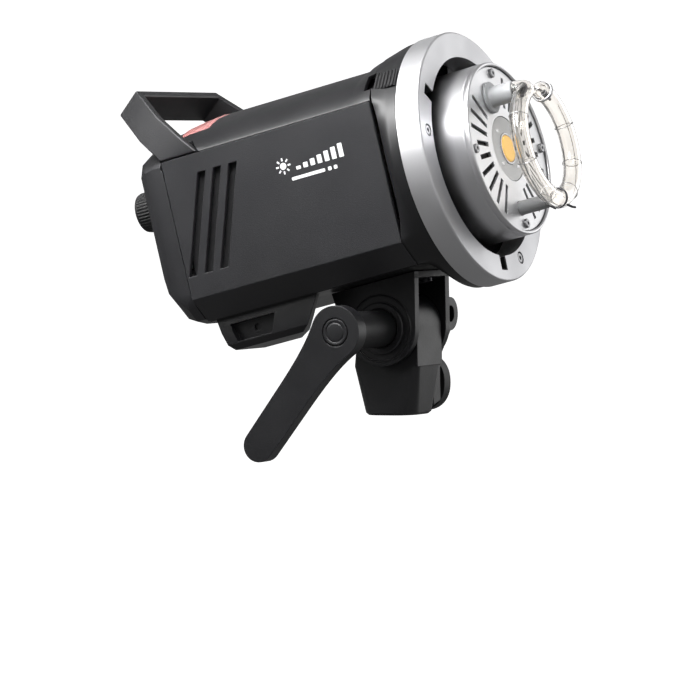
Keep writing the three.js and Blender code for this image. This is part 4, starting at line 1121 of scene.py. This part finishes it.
# ------------------------------------------------------------------ light, floor and camera
def area_light(name, size, place, aim, power):
    data = bpy.data.lights.new(name, "AREA")
    data.shape = "RECTANGLE"
    data.size, data.size_y = size
    data.energy = power
    o = bpy.data.objects.new(name, data)
    o.location = place
    o.rotation_mode = "QUATERNION"
    o.rotation_quaternion = (Vector(aim) - Vector(place)).to_track_quat("-Z", "Y")
    scene.collection.objects.link(o)


CAMERA_AZIMUTH = math.radians(-63.187)
CAMERA_ELEVATION = math.radians(2.22)
CAMERA_ROLL = math.radians(-1.066)
CAMERA_DISTANCE = 2.16707
CAMERA_LENS = 226.7
AIM_RIGHT = -0.022004
AIM_HEIGHT = 0.031897

az, el = CAMERA_AZIMUTH, CAMERA_ELEVATION
back = Vector((math.sin(az) * math.cos(el), -math.cos(az) * math.cos(el), math.sin(el)))
level_right = Vector((math.cos(az), math.sin(az), 0))
level_up = back.cross(level_right)
right = level_right * math.cos(CAMERA_ROLL) + level_up * math.sin(CAMERA_ROLL)
aim = level_right * AIM_RIGHT + Vector((0, 0, AIM_HEIGHT))
camera = bpy.data.objects.new("camera", bpy.data.cameras.new("camera"))
camera.matrix_world = frame_matrix(right, back.cross(right), back, aim + back * CAMERA_DISTANCE)
camera.data.lens = CAMERA_LENS
camera.data.sensor_width = 36.0
camera.data.clip_start, camera.data.clip_end = 0.05, 60
camera.data.dof.use_dof = False
scene.collection.objects.link(camera)
scene.camera = camera

FLOOR_Z = -0.16


SWEEP_GLOW = 0.85


def sweep_floor():
    """A pale studio sweep: a flat floor that curves up into a wall far behind the lamp."""
    bm = bmesh.new()
    outline = [(-8.0, 0.0), (3.0, 0.0)]
    outline += [(3.0 + 2.0 * math.sin(a), 2.0 - 2.0 * math.cos(a))
                for a in (math.radians(d) for d in range(6, 91, 6))]
    outline.append((5.0, 8.0))
    rows = []
    for along, up in outline:
        centre = -back * along
        rows.append([bm.verts.new((centre.x + level_right.x * w, centre.y + level_right.y * w, FLOOR_Z + up))
                     for w in (-9.0, 9.0)])
    for a, b in zip(rows, rows[1:]):
        bm.faces.new((a[0], a[1], b[1], b[0]))
    mesh = bpy.data.meshes.new("studio_sweep")
    bm.to_mesh(mesh)
    bm.free()
    smooth(mesh, 60)
    o = bpy.data.objects.new("studio_sweep", mesh)
    m, tree, bsdf = new_material("sweep_paper")
    tone = spread(tree, noise(tree, 3.0), 0.0, 1.0)
    link(tree, mix_colour(tree, tone, (0.90, 0.90, 0.90), (0.92, 0.92, 0.92)), bsdf.inputs["Base Color"])
    bsdf.inputs["Roughness"].default_value = 0.9
    bsdf.inputs["Emission Color"].default_value = (1, 1, 1, 1)
    bsdf.inputs["Emission Strength"].default_value = SWEEP_GLOW
    mesh.materials.append(m)
    o.visible_diffuse = False
    o.visible_glossy = False
    scene.collection.objects.link(o)


sweep_floor()

LIGHT_AIM = (0.0, 0.03, 0.09)
LIGHTS = (
    ("top_softbox", (1.6, 1.6), (-0.6, 0.4, 1.6), LIGHT_AIM, 15),
    ("left_softbox", (0.9, 1.2), (-1.5, 1.1, 0.9), LIGHT_AIM, 1.2),
    ("rear_softbox", (0.4, 0.4), (-0.50, 0.62, 0.45), (-0.055, 0.09, 0.12), 2),
    ("near_strip", (0.34, 0.10), (-0.20, 0.07, 0.31), (-0.055, 0.06, 0.13), 1.6),
    ("front_softbox", (1.0, 1.4), (-0.7, -1.9, 0.8), LIGHT_AIM, 6),
    ("ring_softbox", (1.3, 1.3), (1.52, -0.79, 0.42), (0.0, -0.06, 0.11), 6.5),
)
for light in LIGHTS:
    area_light(*light)

world = bpy.data.worlds.new("studio")
scene.world = world
world.use_nodes = True


def studio_world(tree, above, below, seen):
    """A dim room, darker below, that lights the lamp, and a pale one where it is looked at directly."""
    background = tree.nodes["Background"]
    coord = tree.nodes.new("ShaderNodeTexCoord")
    split = tree.nodes.new("ShaderNodeSeparateXYZ")
    link(tree, coord.outputs["Generated"], split.inputs["Vector"])
    fill = spread(tree, split.outputs["Z"], below, above, at=(-0.5, 0.9))
    path = tree.nodes.new("ShaderNodeLightPath")
    bounced = node(tree, "ShaderNodeMath", operation="MAXIMUM")
    link(tree, path.outputs["Is Diffuse Ray"], bounced.inputs[0])
    link(tree, path.outputs["Is Glossy Ray"], bounced.inputs[1])
    strength = tree.nodes.new("ShaderNodeMix")
    strength.data_type = "FLOAT"
    strength.inputs["A"].default_value = seen
    link(tree, bounced.outputs[0], strength.inputs["Factor"])
    link(tree, fill, strength.inputs["B"])
    link(tree, strength.outputs["Result"], background.inputs["Strength"])
    background.inputs["Color"].default_value = (1, 1, 1, 1)


studio_world(world.node_tree, above=0.30, below=0.18, seen=1.0)
scene.view_settings.view_transform = "Standard"
scene.view_settings.look = "None"
scene.view_settings.exposure = 0.0
